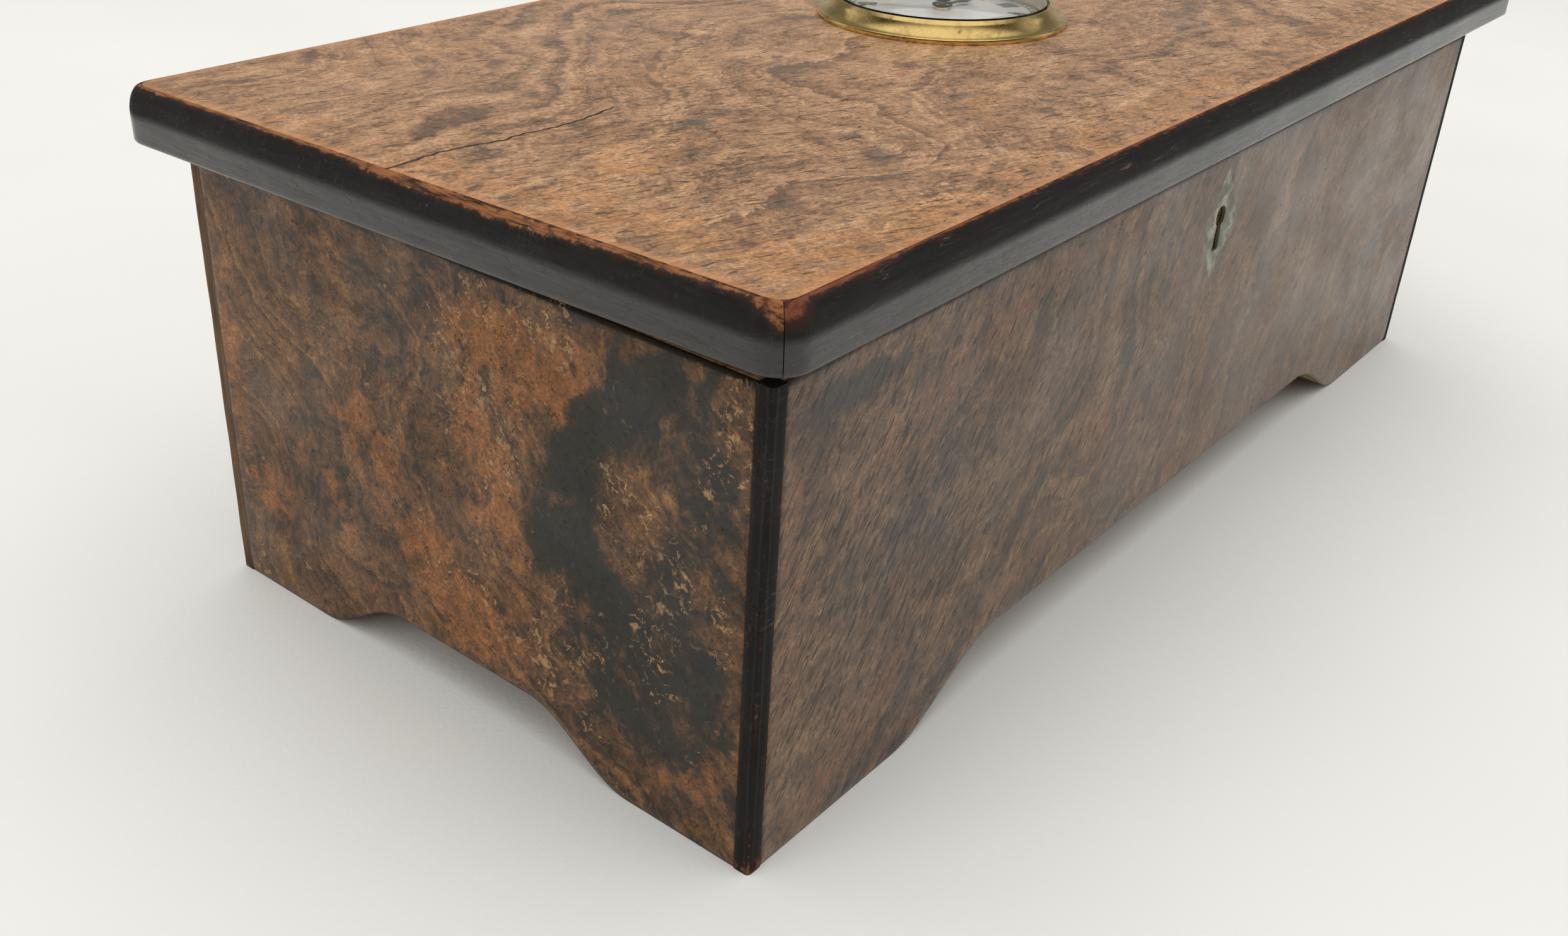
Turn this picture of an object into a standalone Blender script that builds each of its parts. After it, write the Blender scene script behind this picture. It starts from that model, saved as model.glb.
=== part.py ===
"""A burr-walnut box on a shaped apron, with a lock, a hinged lid and a clock let into the lid.

Run with: blender --background --python part.py
Metres, +Z up. The origin is on the surface the box stands on, under its middle; +X runs along the
front towards its right end, and the front faces -Y. The lid rests a little open, on its link plate.
"""

from math import cos, pi, radians, sin, tau

import bmesh
import bpy
import numpy as np
from mathutils import Matrix, Vector

MM = 0.001

# --- clearances --------------------------------------------------------------------------------
GLUE_LINE = 0.3 * MM  # between two pieces that lie against each other
SLIDE_PLAY = 0.45 * MM  # each side of a piece that slides or drops into place
TURN_PLAY = 0.35 * MM  # round a piece that turns

# --- the carcase -------------------------------------------------------------------------------
BODY_LENGTH = 314 * MM
BODY_DEPTH = 146 * MM
BODY_HEIGHT = 95 * MM
PANEL = 9 * MM  # thickness of the four walls
VENEER = 0.8 * MM
CORNER_STRIP = 3.3 * MM
STRIP_ARRIS = 0.9 * MM
BOTTOM_BOARD = 6 * MM
FOOT_FRONT = 43 * MM  # flat length of each foot, along the front
FOOT_SIDE = 29 * MM  # and along the side
ARCH_FRONT = 13.6 * MM  # height of the apron's arch
ARCH_SIDE = 11.2 * MM
OGEE_FRONT = 36 * MM  # length of the curve from the foot to the arch
OGEE_SIDE = 26 * MM
LINING = 1.2 * MM
LINING_BELOW_RIM = 3 * MM

# --- the lock, at the middle of the front ------------------------------------------------------
LOCK_LENGTH = 44 * MM
LOCK_HEIGHT = 24 * MM
LOCK_DEPTH = 5.6 * MM
LOCK_WALL = 0.8 * MM
SELVEDGE_LENGTH = 58 * MM  # the lock's top plate
SELVEDGE_WIDTH = 8 * MM
SELVEDGE = 1.4 * MM
BOLT_LENGTH = 30 * MM
BOLT_HEIGHT = 5.4 * MM
BOLT_THROW = 2 * MM
BOLT_BELOW_SELVEDGE = 2.4 * MM
HOOK_SPACING = 18 * MM
HOOK_STEM = 1.6 * MM
HOOK_TOE = 2.2 * MM
HOOK_TOE_HEIGHT = 1.6 * MM
HOOK_TIP_BELOW_BOLT = 3.2 * MM  # below the bolt's top, with the lid shut flat
HOOK_ROOM = 0.6 * MM  # under the tip, in the bolt's notch
HOOK_SLOT_DEPTH = 9 * MM
LINK_LENGTH = 46 * MM
LINK_WIDTH = 7.6 * MM
LOZENGE_WIDTH = 18 * MM
LOZENGE_HEIGHT = 26.4 * MM
LOZENGE_BELOW_RIM = 16 * MM  # its centre
KEYHOLE_RADIUS = 2.3 * MM
KEYHOLE_LENGTH = 10.3 * MM
KEYHOLE_BELOW_RIM = 11.8 * MM  # its top
KEYHOLE_NECK = 2.2 * MM
KEYHOLE_FLARE = 3.1 * MM

# --- the hinges --------------------------------------------------------------------------------
HINGE_LENGTH = 32 * MM
HINGE_FROM_END = 48 * MM
LEAF = 1.2 * MM
LEAF_ON_WOOD = 7.5 * MM
KNUCKLE_RADIUS = 1.75 * MM
PIN_RADIUS = 0.8 * MM
LEAF_GAP = 0.4 * MM  # between the two leaves of a shut hinge

# --- the lid -----------------------------------------------------------------------------------
LID_REST = radians(1.35)  # the lid's rest angle, on its link plate
LID_OVERHANG = 8.2 * MM
LID_CORNER = 6 * MM
LID_REBATE = 1.9 * MM  # depth of the step round the lid's underside
REBATE_INSET = 1.0 * MM  # the stepped part is this much smaller than the body
EDGING_WIDTH = 2.9 * MM
EDGING_HEIGHT = 10.8 * MM
EDGING_FLAT = 0.3 * MM
EDGING_FACE = 5.4 * MM  # height at which the edging starts to round over
EDGING_FOOT = 0.9 * MM  # radius of its lower edge
LID_VENEER = 0.7 * MM
LID_LINING = 0.8 * MM

# --- the clock; heights are from the lid's top surface -----------------------------------------
CLOCK_BACK = 3.5 * MM  # the clock's centre is this far behind the middle of the body
BEZEL_RADIUS = 29.3 * MM
BEZEL_RISE = 4.4 * MM
BEZEL_LIP = 1.1 * MM  # height of the flange's edge
GLASS_RADIUS = 24.4 * MM
GLASS = 1.2 * MM
GLASS_DOME = 2.2 * MM
GLASS_SEAT = 3.2 * MM
CASE_RADIUS = 24.9 * MM
CASE_WALL = 1.0 * MM
SKIRT_DEPTH = 4.0 * MM
CASE_DEPTH = 24.5 * MM
BACK_COVER = 1.2 * MM
DIAL = 1.2 * MM
DIAL_TOP = 0.8 * MM
PLATE = 1.4 * MM
FRONT_PLATE_TOP = -5.0 * MM
BACK_PLATE_TOP = -19.0 * MM
PILLAR_INSET = 2.7 * MM  # from the plates' edge to the pillars' centres
PILLAR_RADIUS = 1.2 * MM
CLAMP_WIDTH = 5.6 * MM
CLAMP = 1.4 * MM
HOUR_HAND_REACH = 0.52  # of the inside of the case
MINUTE_HAND_REACH = 0.82
HOUR_BOSS = 2.4 * MM
MINUTE_BOSS = 1.9 * MM
HAND = 0.4 * MM
HAND_STEM = 0.45 * MM  # half width
HAND_SWELL = 1.25 * MM  # half width of the leaf shape
HAND_SWELL_LENGTH = 2.2 * MM  # either way from its widest place
HOUR_HAND_ANGLE = radians(-8)
MINUTE_HAND_ANGLE = radians(118)
HANDS_APART = 0.8 * MM
ARBOR = 0.55 * MM  # radius of the centre arbor
MOTION_CENTRES = 7.0 * MM  # from the centre arbor to the minute wheel's
CANNON_TEETH_RATIO = 3  # minute wheel to cannon pinion
HOUR_TEETH_RATIO = 4  # hour wheel to minute pinion
BARREL_RADIUS = 8.5 * MM
CENTRE_PINION = 1.3 * MM
CENTRE_WHEEL = 8.25 * MM
THIRD_PINION = 1.1 * MM
THIRD_WHEEL = 6.6 * MM
WHEEL = 0.8 * MM
BARREL_ANGLE = radians(200)
THIRD_ANGLE = radians(320)
MINUTE_WHEEL_ANGLE = radians(310)
ESCAPEMENT_ANGLE = radians(110)
ESCAPEMENT_CIRCLE = 13.2 * MM
ESCAPEMENT_SIZE = Vector((10, 7, 7.5)) * MM
WINDING_ARBOR = 1.5 * MM  # radius
KEY_LENGTH = 9 * MM  # below the back cover
KEY_BOW = Vector((12, 1.6, 6.3)) * MM
KEY_BOW_DROP = 2.2 * MM  # from the back cover to the bow
KNOB_RADIUS = 3.2 * MM
KNOB = 1.4 * MM

# --- screws ------------------------------------------------------------------------------------
SCREW_HEAD = 1.6 * MM
SCREW_HEAD_DEPTH = 0.8 * MM
SCREW_SHANK = 0.75 * MM
SCREW_LENGTH = 6 * MM
SELVEDGE_SCREW_IN = 3 * MM  # from the top plate's end to its screw
LINK_SCREW_IN = 4 * MM

# --- places worked out from the sizes above ----------------------------------------------------
FRONT = -BODY_DEPTH / 2
BACK = BODY_DEPTH / 2
RIGHT = BODY_LENGTH / 2
RIM = BODY_HEIGHT
SKIN = VENEER + GLUE_LINE  # from an outer face to the wall behind its veneer
WALL = SKIN + PANEL  # from an outer face to the inner face of the wall
BOTTOM = max(ARCH_FRONT, ARCH_SIDE) + 1.4 * MM
FLOOR = BOTTOM + BOTTOM_BOARD
AXIS = Vector((0, BACK + KNUCKLE_RADIUS + TURN_PLAY, RIM + LEAF_GAP / 2))
LID_SEAT = AXIS.z + LEAF_GAP / 2  # the underside of a shut lid
LID_STEP = LID_SEAT + LID_REBATE
LID_TOP = LID_STEP + EDGING_HEIGHT
BOARD_OVERHANG = LID_OVERHANG - EDGING_WIDTH - GLUE_LINE
BOARD_CORNER = LID_CORNER - EDGING_WIDTH - GLUE_LINE
BOARD_TOP = LID_TOP - LID_VENEER - GLUE_LINE
CLOCK = Vector((0, CLOCK_BACK, LID_TOP))
CLOCK_HOLE = CASE_RADIUS + SLIDE_PLAY
CASE_INSIDE = CASE_RADIUS - CASE_WALL
LOCK_TOP = RIM - SELVEDGE - GLUE_LINE
LOCK_INNER = FRONT + WALL  # the lock is flush with the inside of the front
LOCK_OUTER = LOCK_INNER - LOCK_DEPTH
HOOK_Y = (LOCK_INNER + LOCK_OUTER) / 2
BOLT_TOP = LOCK_TOP - BOLT_BELOW_SELVEDGE
HOOK_DROP = (AXIS.y - HOOK_Y) * sin(LID_REST)  # how far the resting lid stands above a shut one

UPRIGHT = (pi / 2, 0, 0)  # turns a flat outline to face the front
SIDEWAYS = (pi / 2, 0, pi / 2)  # and to face the side
SMOOTH_ANGLE = radians(35)


# --- scene, collections and materials ----------------------------------------------------------
def clear_scene():
    for obj in list(bpy.data.objects):
        bpy.data.objects.remove(obj)


def new_collection(name):
    made = bpy.data.collections.new(name)
    bpy.context.scene.collection.children.link(made)
    return made


def new_material(name, colour, roughness, metallic=0.0):
    made = bpy.data.materials.new(name)
    made.use_nodes = True
    shader = made.node_tree.nodes["Principled BSDF"]
    shader.inputs["Base Color"].default_value = (*colour, 1)
    shader.inputs["Roughness"].default_value = roughness
    shader.inputs["Metallic"].default_value = metallic
    made.diffuse_color = (*colour, 1)
    return made


clear_scene()
PARTS = new_collection("clock_lid_walnut_box")
CUTTERS = new_collection("cutters")
WALNUT = new_material("burr_walnut", (0.20, 0.10, 0.05), 0.3)
EBONISED = new_material("ebonised_wood", (0.02, 0.018, 0.016), 0.3)
MAHOGANY = new_material("mahogany", (0.19, 0.06, 0.03), 0.5)
PINE = new_material("pine", (0.45, 0.30, 0.16), 0.7)
VELVET = new_material("velvet", (0.20, 0.02, 0.03), 0.9)
BRASS = new_material("brass", (0.72, 0.52, 0.22), 0.25, 1.0)
NICKEL = new_material("white_metal", (0.45, 0.46, 0.40), 0.4, 1.0)
STEEL = new_material("steel", (0.35, 0.35, 0.36), 0.35, 1.0)
BLUED = new_material("blued_steel", (0.02, 0.02, 0.03), 0.3, 1.0)
ENAMEL = new_material("enamel", (0.90, 0.89, 0.85), 0.15)
CRYSTAL = new_material("glass", (0.95, 0.97, 0.96), 0.02)

LID_HINGE = bpy.data.objects.new("lid_hinge", None)
PARTS.objects.link(LID_HINGE)
LID_HINGE.location = AXIS
LID_HINGE.rotation_euler = (-LID_REST, 0, 0)


# --- making objects ----------------------------------------------------------------------------
def on_lid(obj):
    """Hangs obj on the hinge axis. Its own place is given for a lid that is shut flat."""
    obj.parent = LID_HINGE
    obj.matrix_parent_inverse = Matrix.Translation(-AXIS)
    return obj


def add_object(name, mesh, material):
    """Links a new object: a part if it has a material, a hidden cutter if it has none."""
    obj = bpy.data.objects.new(name, mesh)
    if material is None:
        CUTTERS.objects.link(obj)
        obj.hide_render = True
        obj.display_type = "WIRE"
    else:
        PARTS.objects.link(obj)
        mesh.materials.append(material)
    return obj


def box(name, low, high, material=None, bevel=0.0):
    """A block between two corners, with its origin at its middle and its edges eased by bevel."""
    low, high = Vector(low), Vector(high)
    shape = bmesh.new()
    bmesh.ops.create_cube(shape, size=1)
    bmesh.ops.scale(shape, vec=high - low, verts=shape.verts)
    mesh = bpy.data.meshes.new(name)
    shape.to_mesh(mesh)
    shape.free()
    obj = add_object(name, mesh, material)
    obj.location = (low + high) / 2
    if bevel:
        edge = obj.modifiers.new("eased_edges", "BEVEL")
        edge.width = bevel
        edge.segments = 2
    return obj


def plate(name, loops, thickness, location, rotation=(0, 0, 0), material=None):
    """A flat outline with a thickness, centred on location. Loops after the first are holes."""
    curve = bpy.data.curves.new(name + "_outline", "CURVE")
    curve.dimensions = "2D"
    curve.fill_mode = "BOTH"
    curve.extrude = thickness / 2
    for loop in loops:
        spline = curve.splines.new("POLY")
        spline.points.add(len(loop) - 1)
        for point, (x, y) in zip(spline.points, loop):
            point.co = (x, y, 0, 1)
        spline.use_cyclic_u = True
    guide = bpy.data.objects.new(name + "_outline", curve)
    CUTTERS.objects.link(guide)
    graph = bpy.context.evaluated_depsgraph_get()
    mesh = bpy.data.meshes.new_from_object(guide.evaluated_get(graph))
    mesh.name = name
    bpy.data.objects.remove(guide)
    weld(mesh)
    obj = add_object(name, mesh, material)
    obj.location = location
    obj.rotation_euler = rotation
    return obj


def weld(mesh):
    shape = bmesh.new()
    shape.from_mesh(mesh)
    bmesh.ops.remove_doubles(shape, verts=shape.verts, dist=0.001 * MM)
    bmesh.ops.recalc_face_normals(shape, faces=shape.faces)
    shape.to_mesh(mesh)
    shape.free()


def turned(name, profile, location, material=None, steps=24, ring=False):
    """A turned piece. The profile of (radius, height) runs down the outside; a ring's is closed."""
    count = len(profile)
    edges = [(n, n + 1) for n in range(count - 1)]
    if ring:
        edges.append((count - 1, 0))
    mesh = bpy.data.meshes.new(name)
    mesh.from_pydata([(radius, 0, height) for radius, height in profile], edges, [])
    obj = add_object(name, mesh, material)
    obj.location = location
    lathe = obj.modifiers.new("lathe", "SCREW")
    lathe.steps = lathe.render_steps = steps
    lathe.use_merge_vertices = True
    lathe.merge_threshold = 0.001 * MM
    lathe.use_smooth_shade = True
    return obj


def rod(name, radius, low, high, at, material=None, steps=16):
    """An upright cylinder from height low to height high, over the point at."""
    profile = [(0, high), (radius, high), (radius, low), (0, low)]
    return turned(name, profile, at, material, steps)


def cut(obj, *cutters, operation="DIFFERENCE"):
    for cutter in cutters:
        step = obj.modifiers.new(cutter.name, "BOOLEAN")
        step.operation = operation
        step.object = cutter
    return obj


def join(obj, *others):
    return cut(obj, *others, operation="UNION")


# --- outlines ----------------------------------------------------------------------------------
def rectangle(x0, y0, x1, y1):
    return [(x0, y0), (x1, y0), (x1, y1), (x0, y1)]


def arc(centre, radius, start, end, steps):
    turn = np.linspace(start, end, steps + 1)
    return [(centre[0] + radius * cos(a), centre[1] + radius * sin(a)) for a in turn]


def circle(centre, radius, steps=40):
    return arc(centre, radius, 0, tau, steps)[:-1]


def rounded_rectangle(half_x, half_y, radius, steps=5):
    points = []
    for quarter, (sx, sy) in enumerate([(1, 1), (-1, 1), (-1, -1), (1, -1)]):
        centre = (sx * (half_x - radius), sy * (half_y - radius))
        start = quarter * pi / 2
        points += arc(centre, radius, start, start + pi / 2, steps)
    return points


def apron(half_width, top, foot, rise, run, feet=0.0):
    """A wall's outline: flat feet, then an ogee of length run up to an arch of height rise."""
    half_arch = half_width - foot
    along = np.linspace(0, 1, 9)
    lift = [rise * (1 - cos(pi * t)) / 2 for t in along]
    left = [(-half_arch + run * t, max(z, feet)) for t, z in zip(along, lift)]
    right = [(-x, z) for x, z in reversed(left)]
    corners = [(half_width, feet), (half_width, top), (-half_width, top), (-half_width, feet)]
    return left + right + corners


# --- screws ------------------------------------------------------------------------------------
def screw_profile(grow=0.0):
    """A countersunk screw, head up, with its head's face at height 0. A cutter grows by grow."""
    return [
        (0, grow),
        (SCREW_HEAD + grow, grow),
        (SCREW_HEAD + grow, -0.3 * SCREW_HEAD_DEPTH),
        (SCREW_SHANK + grow, -SCREW_HEAD_DEPTH - grow),
        (SCREW_SHANK + grow, -SCREW_LENGTH + SCREW_SHANK),
        (0, -SCREW_LENGTH - grow),
    ]


def screws(name, points, direction):
    """Screws with the faces of their heads at points, facing +Z or, at -1, -Z; and their holes."""
    made, holes = [], []
    for n, point in enumerate(points, 1):
        for group, label, grow, material in ((made, "", 0, BRASS), (holes, "_hole", GLUE_LINE, None)):
            obj = turned(f"{name}_{n}{label}", screw_profile(grow), point, material, steps=10)
            obj.rotation_euler = (0 if direction > 0 else pi, 0, 0)
            group.append(obj)
    return made, holes


# --- the carcase -------------------------------------------------------------------------------
def make_walls():
    """Front and back run the full length; the sides stand between them."""
    long_half = RIGHT - SKIN
    side_half = BACK - WALL - GLUE_LINE
    front_loop = apron(long_half, RIM, FOOT_FRONT - SKIN, ARCH_FRONT, OGEE_FRONT)
    side_loop = apron(side_half, RIM, FOOT_SIDE - WALL - GLUE_LINE, ARCH_SIDE, OGEE_SIDE)
    walls = {}
    for name, way in (("front", -1), ("back", 1)):
        middle = (0, way * (BACK - SKIN - PANEL / 2), 0)
        walls[name] = plate("carcase_" + name, [front_loop], PANEL, middle, UPRIGHT, PINE)
        for end in (-1, 1):
            cut(walls[name], strip_notch(name, end, way))
    for name, way in (("left", -1), ("right", 1)):
        middle = (way * (RIGHT - SKIN - PANEL / 2), 0, 0)
        walls[name] = plate("carcase_" + name, [side_loop], PANEL, middle, SIDEWAYS, PINE)
    return walls


def strip_notch(name, end, way):
    """Cuts the room for a corner strip out of a long wall's end."""
    reach = CORNER_STRIP + GLUE_LINE
    outer = Vector((end * (RIGHT + MM), way * (BACK + MM), -MM))
    inner = Vector((end * (RIGHT - reach), way * (BACK - reach), RIM + MM))
    low, high = corners_of(outer, inner)
    return box(f"notch_{name}_{end}", low, high)


def corners_of(a, b):
    low = Vector(min(pair) for pair in zip(a, b))
    high = Vector(max(pair) for pair in zip(a, b))
    return low, high


def make_veneers():
    """Burr veneer on each wall, stopping at the corner strips."""
    reach = CORNER_STRIP + GLUE_LINE
    sizes = {
        "front": (RIGHT - reach, FOOT_FRONT - reach, ARCH_FRONT, OGEE_FRONT),
        "side": (BACK - reach, FOOT_SIDE - reach, ARCH_SIDE, OGEE_SIDE),
    }
    skins = {}
    for name, way, kind in (
        ("front", -1, "front"),
        ("back", 1, "front"),
        ("left", -1, "side"),
        ("right", 1, "side"),
    ):
        half, foot, rise, run = sizes[kind]
        loop = apron(half, RIM, foot, rise, run, feet=GLUE_LINE)
        if kind == "front":
            middle, turn = (0, way * (BACK - VENEER / 2), 0), UPRIGHT
        else:
            middle, turn = (way * (RIGHT - VENEER / 2), 0, 0), SIDEWAYS
        skins[name] = plate("veneer_" + name, [loop], VENEER, middle, turn, WALNUT)
    return skins


def make_corner_strips():
    for x_name, sx in (("left", -1), ("right", 1)):
        for y_name, sy in (("front", -1), ("back", 1)):
            outer = Vector((sx * RIGHT, sy * BACK, 0))
            inner = Vector((sx * (RIGHT - CORNER_STRIP), sy * (BACK - CORNER_STRIP), RIM))
            low, high = corners_of(outer, inner)
            name = f"corner_strip_{y_name}_{x_name}"
            box(name, low, high, EBONISED, bevel=STRIP_ARRIS)


def make_bottom():
    half_x = RIGHT - WALL - GLUE_LINE
    half_y = BACK - WALL - GLUE_LINE
    box("bottom_board", (-half_x, -half_y, BOTTOM), (half_x, half_y, FLOOR), PINE)


def make_linings():
    """A cloth lining round the inside, cut away at the lock, and a pad on the bottom board."""
    outer_x = RIGHT - WALL - GLUE_LINE
    outer_y = BACK - WALL - GLUE_LINE
    inner_x, inner_y = outer_x - LINING, outer_y - LINING
    low = FLOOR + GLUE_LINE
    high = RIM - LINING_BELOW_RIM
    loops = [
        rectangle(-outer_x, -outer_y, outer_x, outer_y),
        rectangle(-inner_x, -inner_y, inner_x, inner_y),
    ]
    walls = plate("wall_lining", loops, high - low, (0, 0, (low + high) / 2), material=VELVET)
    half_lock = LOCK_LENGTH / 2 + SLIDE_PLAY
    lock_low = LOCK_TOP - LOCK_HEIGHT - SLIDE_PLAY
    window = box(
        "lining_window",
        (-half_lock, FRONT, lock_low),
        (half_lock, FRONT + WALL + LINING + MM, RIM),
    )
    cut(walls, window)
    pad_x, pad_y = inner_x - GLUE_LINE, inner_y - GLUE_LINE
    box("floor_lining", (-pad_x, -pad_y, low), (pad_x, pad_y, low + LINING), VELVET)


# --- the lock ----------------------------------------------------------------------------------
def keyhole_loop(grow=0.0):
    """A keyhole in x and z: a round top over a slot that widens downwards."""
    top = RIM - KEYHOLE_BELOW_RIM
    centre = (0, top - KEYHOLE_RADIUS)
    radius = KEYHOLE_RADIUS + grow
    neck, flare = KEYHOLE_NECK / 2 + grow, KEYHOLE_FLARE / 2 + grow
    low = top - KEYHOLE_LENGTH - grow
    gap = np.arcsin(neck / radius)
    head = arc(centre, radius, -pi / 2 + gap, 1.5 * pi - gap, 14)
    return head + [(-flare, low), (flare, low)]


def lozenge_loop(grow=0.0):
    middle = RIM - LOZENGE_BELOW_RIM
    half_x, half_z = LOZENGE_WIDTH / 2, LOZENGE_HEIGHT / 2
    slant = (half_x**2 + half_z**2) ** 0.5
    half_x, half_z = half_x + grow * slant / half_z, half_z + grow * slant / half_x
    return [(0, middle - half_z), (half_x, middle), (0, middle + half_z), (-half_x, middle)]


def make_escutcheon(front, skin):
    """A lozenge let in flush with the veneer. The keyhole runs through it and the wall."""
    middle = (0, FRONT + VENEER / 2, 0)
    shield = plate("escutcheon", [lozenge_loop()], VENEER, middle, UPRIGHT, NICKEL)
    seat = plate("lozenge_seat", [lozenge_loop(GLUE_LINE)], 4 * VENEER, (0, FRONT, 0), UPRIGHT)
    cut(skin, seat)
    depth = 2 * (SKIN + PANEL - LOCK_DEPTH + LOCK_WALL + MM)
    hole = plate("keyhole", [keyhole_loop()], depth, (0, FRONT, 0), UPRIGHT)
    cut(shield, hole)
    cut(front, hole)
    return hole


def make_lock(front, hole):
    """An open-topped case in a mortise, with its top plate flush with the rim."""
    half = LOCK_LENGTH / 2
    low = LOCK_TOP - LOCK_HEIGHT
    play = SLIDE_PLAY
    mortise = box(
        "lock_mortise",
        (-half - play, LOCK_OUTER - play, low - play),
        (half + play, LOCK_INNER + MM, RIM + MM),
    )
    cut(front, mortise)
    case = box("lock_case", (-half, LOCK_OUTER, low), (half, LOCK_INNER, LOCK_TOP), BRASS)
    room = box(
        "lock_room",
        (-half + LOCK_WALL, LOCK_OUTER + LOCK_WALL, low + LOCK_WALL),
        (half - LOCK_WALL, LOCK_INNER - LOCK_WALL, LOCK_TOP + MM),
    )
    cut(case, room, hole)
    make_selvedge(front)
    make_bolt()


def make_selvedge(front):
    half = SELVEDGE_LENGTH / 2
    outer = LOCK_INNER - SELVEDGE_WIDTH
    seat = box(
        "selvedge_seat",
        (-half - GLUE_LINE, outer - GLUE_LINE, RIM - SELVEDGE - GLUE_LINE),
        (half + GLUE_LINE, LOCK_INNER + MM, RIM + MM),
    )
    cut(front, seat)
    top = box("lock_top_plate", (-half, outer, RIM - SELVEDGE), (half, LOCK_INNER, RIM), BRASS)
    across = HOOK_STEM / 2 + 1.5 * SLIDE_PLAY
    for side in (-1, 1):
        left = side * HOOK_SPACING / 2 - HOOK_STEM / 2 - SLIDE_PLAY
        right = left + HOOK_STEM + HOOK_TOE + 2 * SLIDE_PLAY
        low, high = RIM - HOOK_SLOT_DEPTH, RIM + MM
        slot = box(f"hook_slot_{side}", (left, HOOK_Y - across, low), (right, HOOK_Y + across, high))
        cut(top, slot)
    middle = (outer + LOCK_INNER) / 2
    ends = [(side * (half - SELVEDGE_SCREW_IN), middle, RIM) for side in (-1, 1)]
    holes = screws("lock_screw", ends, 1)[1]
    cut(top, *holes)
    cut(front, *holes)


def make_bolt():
    """The bolt slides along -X. Each notch takes a hook, and its undercut then covers the toe."""
    thick = LOCK_DEPTH - 2 * LOCK_WALL - 2 * SLIDE_PLAY
    start = -BOLT_LENGTH / 2 + BOLT_THROW
    low = BOLT_TOP - BOLT_HEIGHT
    bolt = box(
        "lock_bolt",
        (start, HOOK_Y - thick / 2, low),
        (start + BOLT_LENGTH, HOOK_Y + thick / 2, BOLT_TOP),
        STEEL,
    )
    floor = BOLT_TOP - HOOK_TIP_BELOW_BOLT - HOOK_ROOM
    for side in (-1, 1):
        left = side * HOOK_SPACING / 2 - HOOK_STEM / 2 - SLIDE_PLAY
        right = left + HOOK_STEM + HOOK_TOE + 2 * SLIDE_PLAY
        notch = box(
            f"bolt_notch_{side}",
            (left - 0.2 * MM, FRONT, floor),
            (right, 0, BOLT_TOP + MM),
        )
        under = box(
            f"bolt_undercut_{side}",
            (right - MM, FRONT, floor),
            (right + BOLT_THROW, 0, floor + HOOK_TOE_HEIGHT + 2 * SLIDE_PLAY),
        )
        cut(bolt, notch, under)


def make_link_plate(board):
    """The lid's link plate. It stands on the lock's top plate, and its hooks drop into the bolt."""
    high = LID_SEAT - GLUE_LINE
    low = RIM + GLUE_LINE - HOOK_DROP
    half = LINK_LENGTH / 2
    link = box(
        "link_plate",
        (-half, HOOK_Y - LINK_WIDTH / 2, low),
        (half, HOOK_Y + LINK_WIDTH / 2, high),
        BRASS,
    )
    on_lid(link)
    tip = BOLT_TOP - HOOK_TIP_BELOW_BOLT - HOOK_DROP
    near, far = HOOK_Y - HOOK_STEM / 2, HOOK_Y + HOOK_STEM / 2
    for side in (-1, 1):
        left = side * HOOK_SPACING / 2 - HOOK_STEM / 2
        right = left + HOOK_STEM
        stem = box(f"hook_stem_{side}", (left, near, tip), (right, far, low + MM))
        toe_top = tip + HOOK_TOE_HEIGHT
        toe = box(f"hook_toe_{side}", (left, near, tip), (right + HOOK_TOE, far, toe_top))
        join(stem, on_lid(toe))
        join(link, on_lid(stem))
    ends = [(side * (half - LINK_SCREW_IN), HOOK_Y, low) for side in (-1, 1)]
    made, holes = screws("link_screw", ends, -1)
    for obj in made + holes:
        on_lid(obj)
    cut(link, *holes)
    cut(board, *holes)


# --- the hinges --------------------------------------------------------------------------------
def rod_along_x(name, radius, x0, x1, material=None, steps=18):
    """A cylinder on the hinge axis, from x0 to x1."""
    half = (x1 - x0) / 2
    obj = rod(name, radius, -half, half, ((x0 + x1) / 2, AXIS.y, AXIS.z), material, steps)
    obj.rotation_euler = (0, pi / 2, 0)
    return obj


def hinge_leaf(name, x, low, high, thirds):
    """A leaf on the wood, with bored knuckles on the given thirds of its length."""
    start = x - HINGE_LENGTH / 2
    third = HINGE_LENGTH / 3
    near = BACK - LEAF_ON_WOOD
    shy = AXIS.y - KNUCKLE_RADIUS - TURN_PLAY
    leaf = box(name, (start, near, low), (start + HINGE_LENGTH, shy, high), BRASS)
    pieces = []
    for n in thirds:
        x0 = start + n * third + (TURN_PLAY / 2 if n else 0)
        x1 = start + (n + 1) * third - (TURN_PLAY / 2 if n < 2 else 0)
        pieces.append(box(f"{name}_arm_{n}", (x0, shy - MM, low), (x1, AXIS.y, high)))
        pieces.append(rod_along_x(f"{name}_knuckle_{n}", KNUCKLE_RADIUS, x0, x1))
    join(leaf, *pieces)
    radius = PIN_RADIUS + TURN_PLAY / 2
    bore = rod_along_x(name + "_bore", radius, x - HINGE_LENGTH, x + HINGE_LENGTH)
    cut(leaf, bore)
    return [leaf, bore] + pieces


def leaf_seat(name, x, low, high):
    half = HINGE_LENGTH / 2 + GLUE_LINE
    near, far = BACK - LEAF_ON_WOOD - GLUE_LINE, AXIS.y + 4 * MM
    return box(name, (x - half, near, low), (x + half, far, high))


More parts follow.
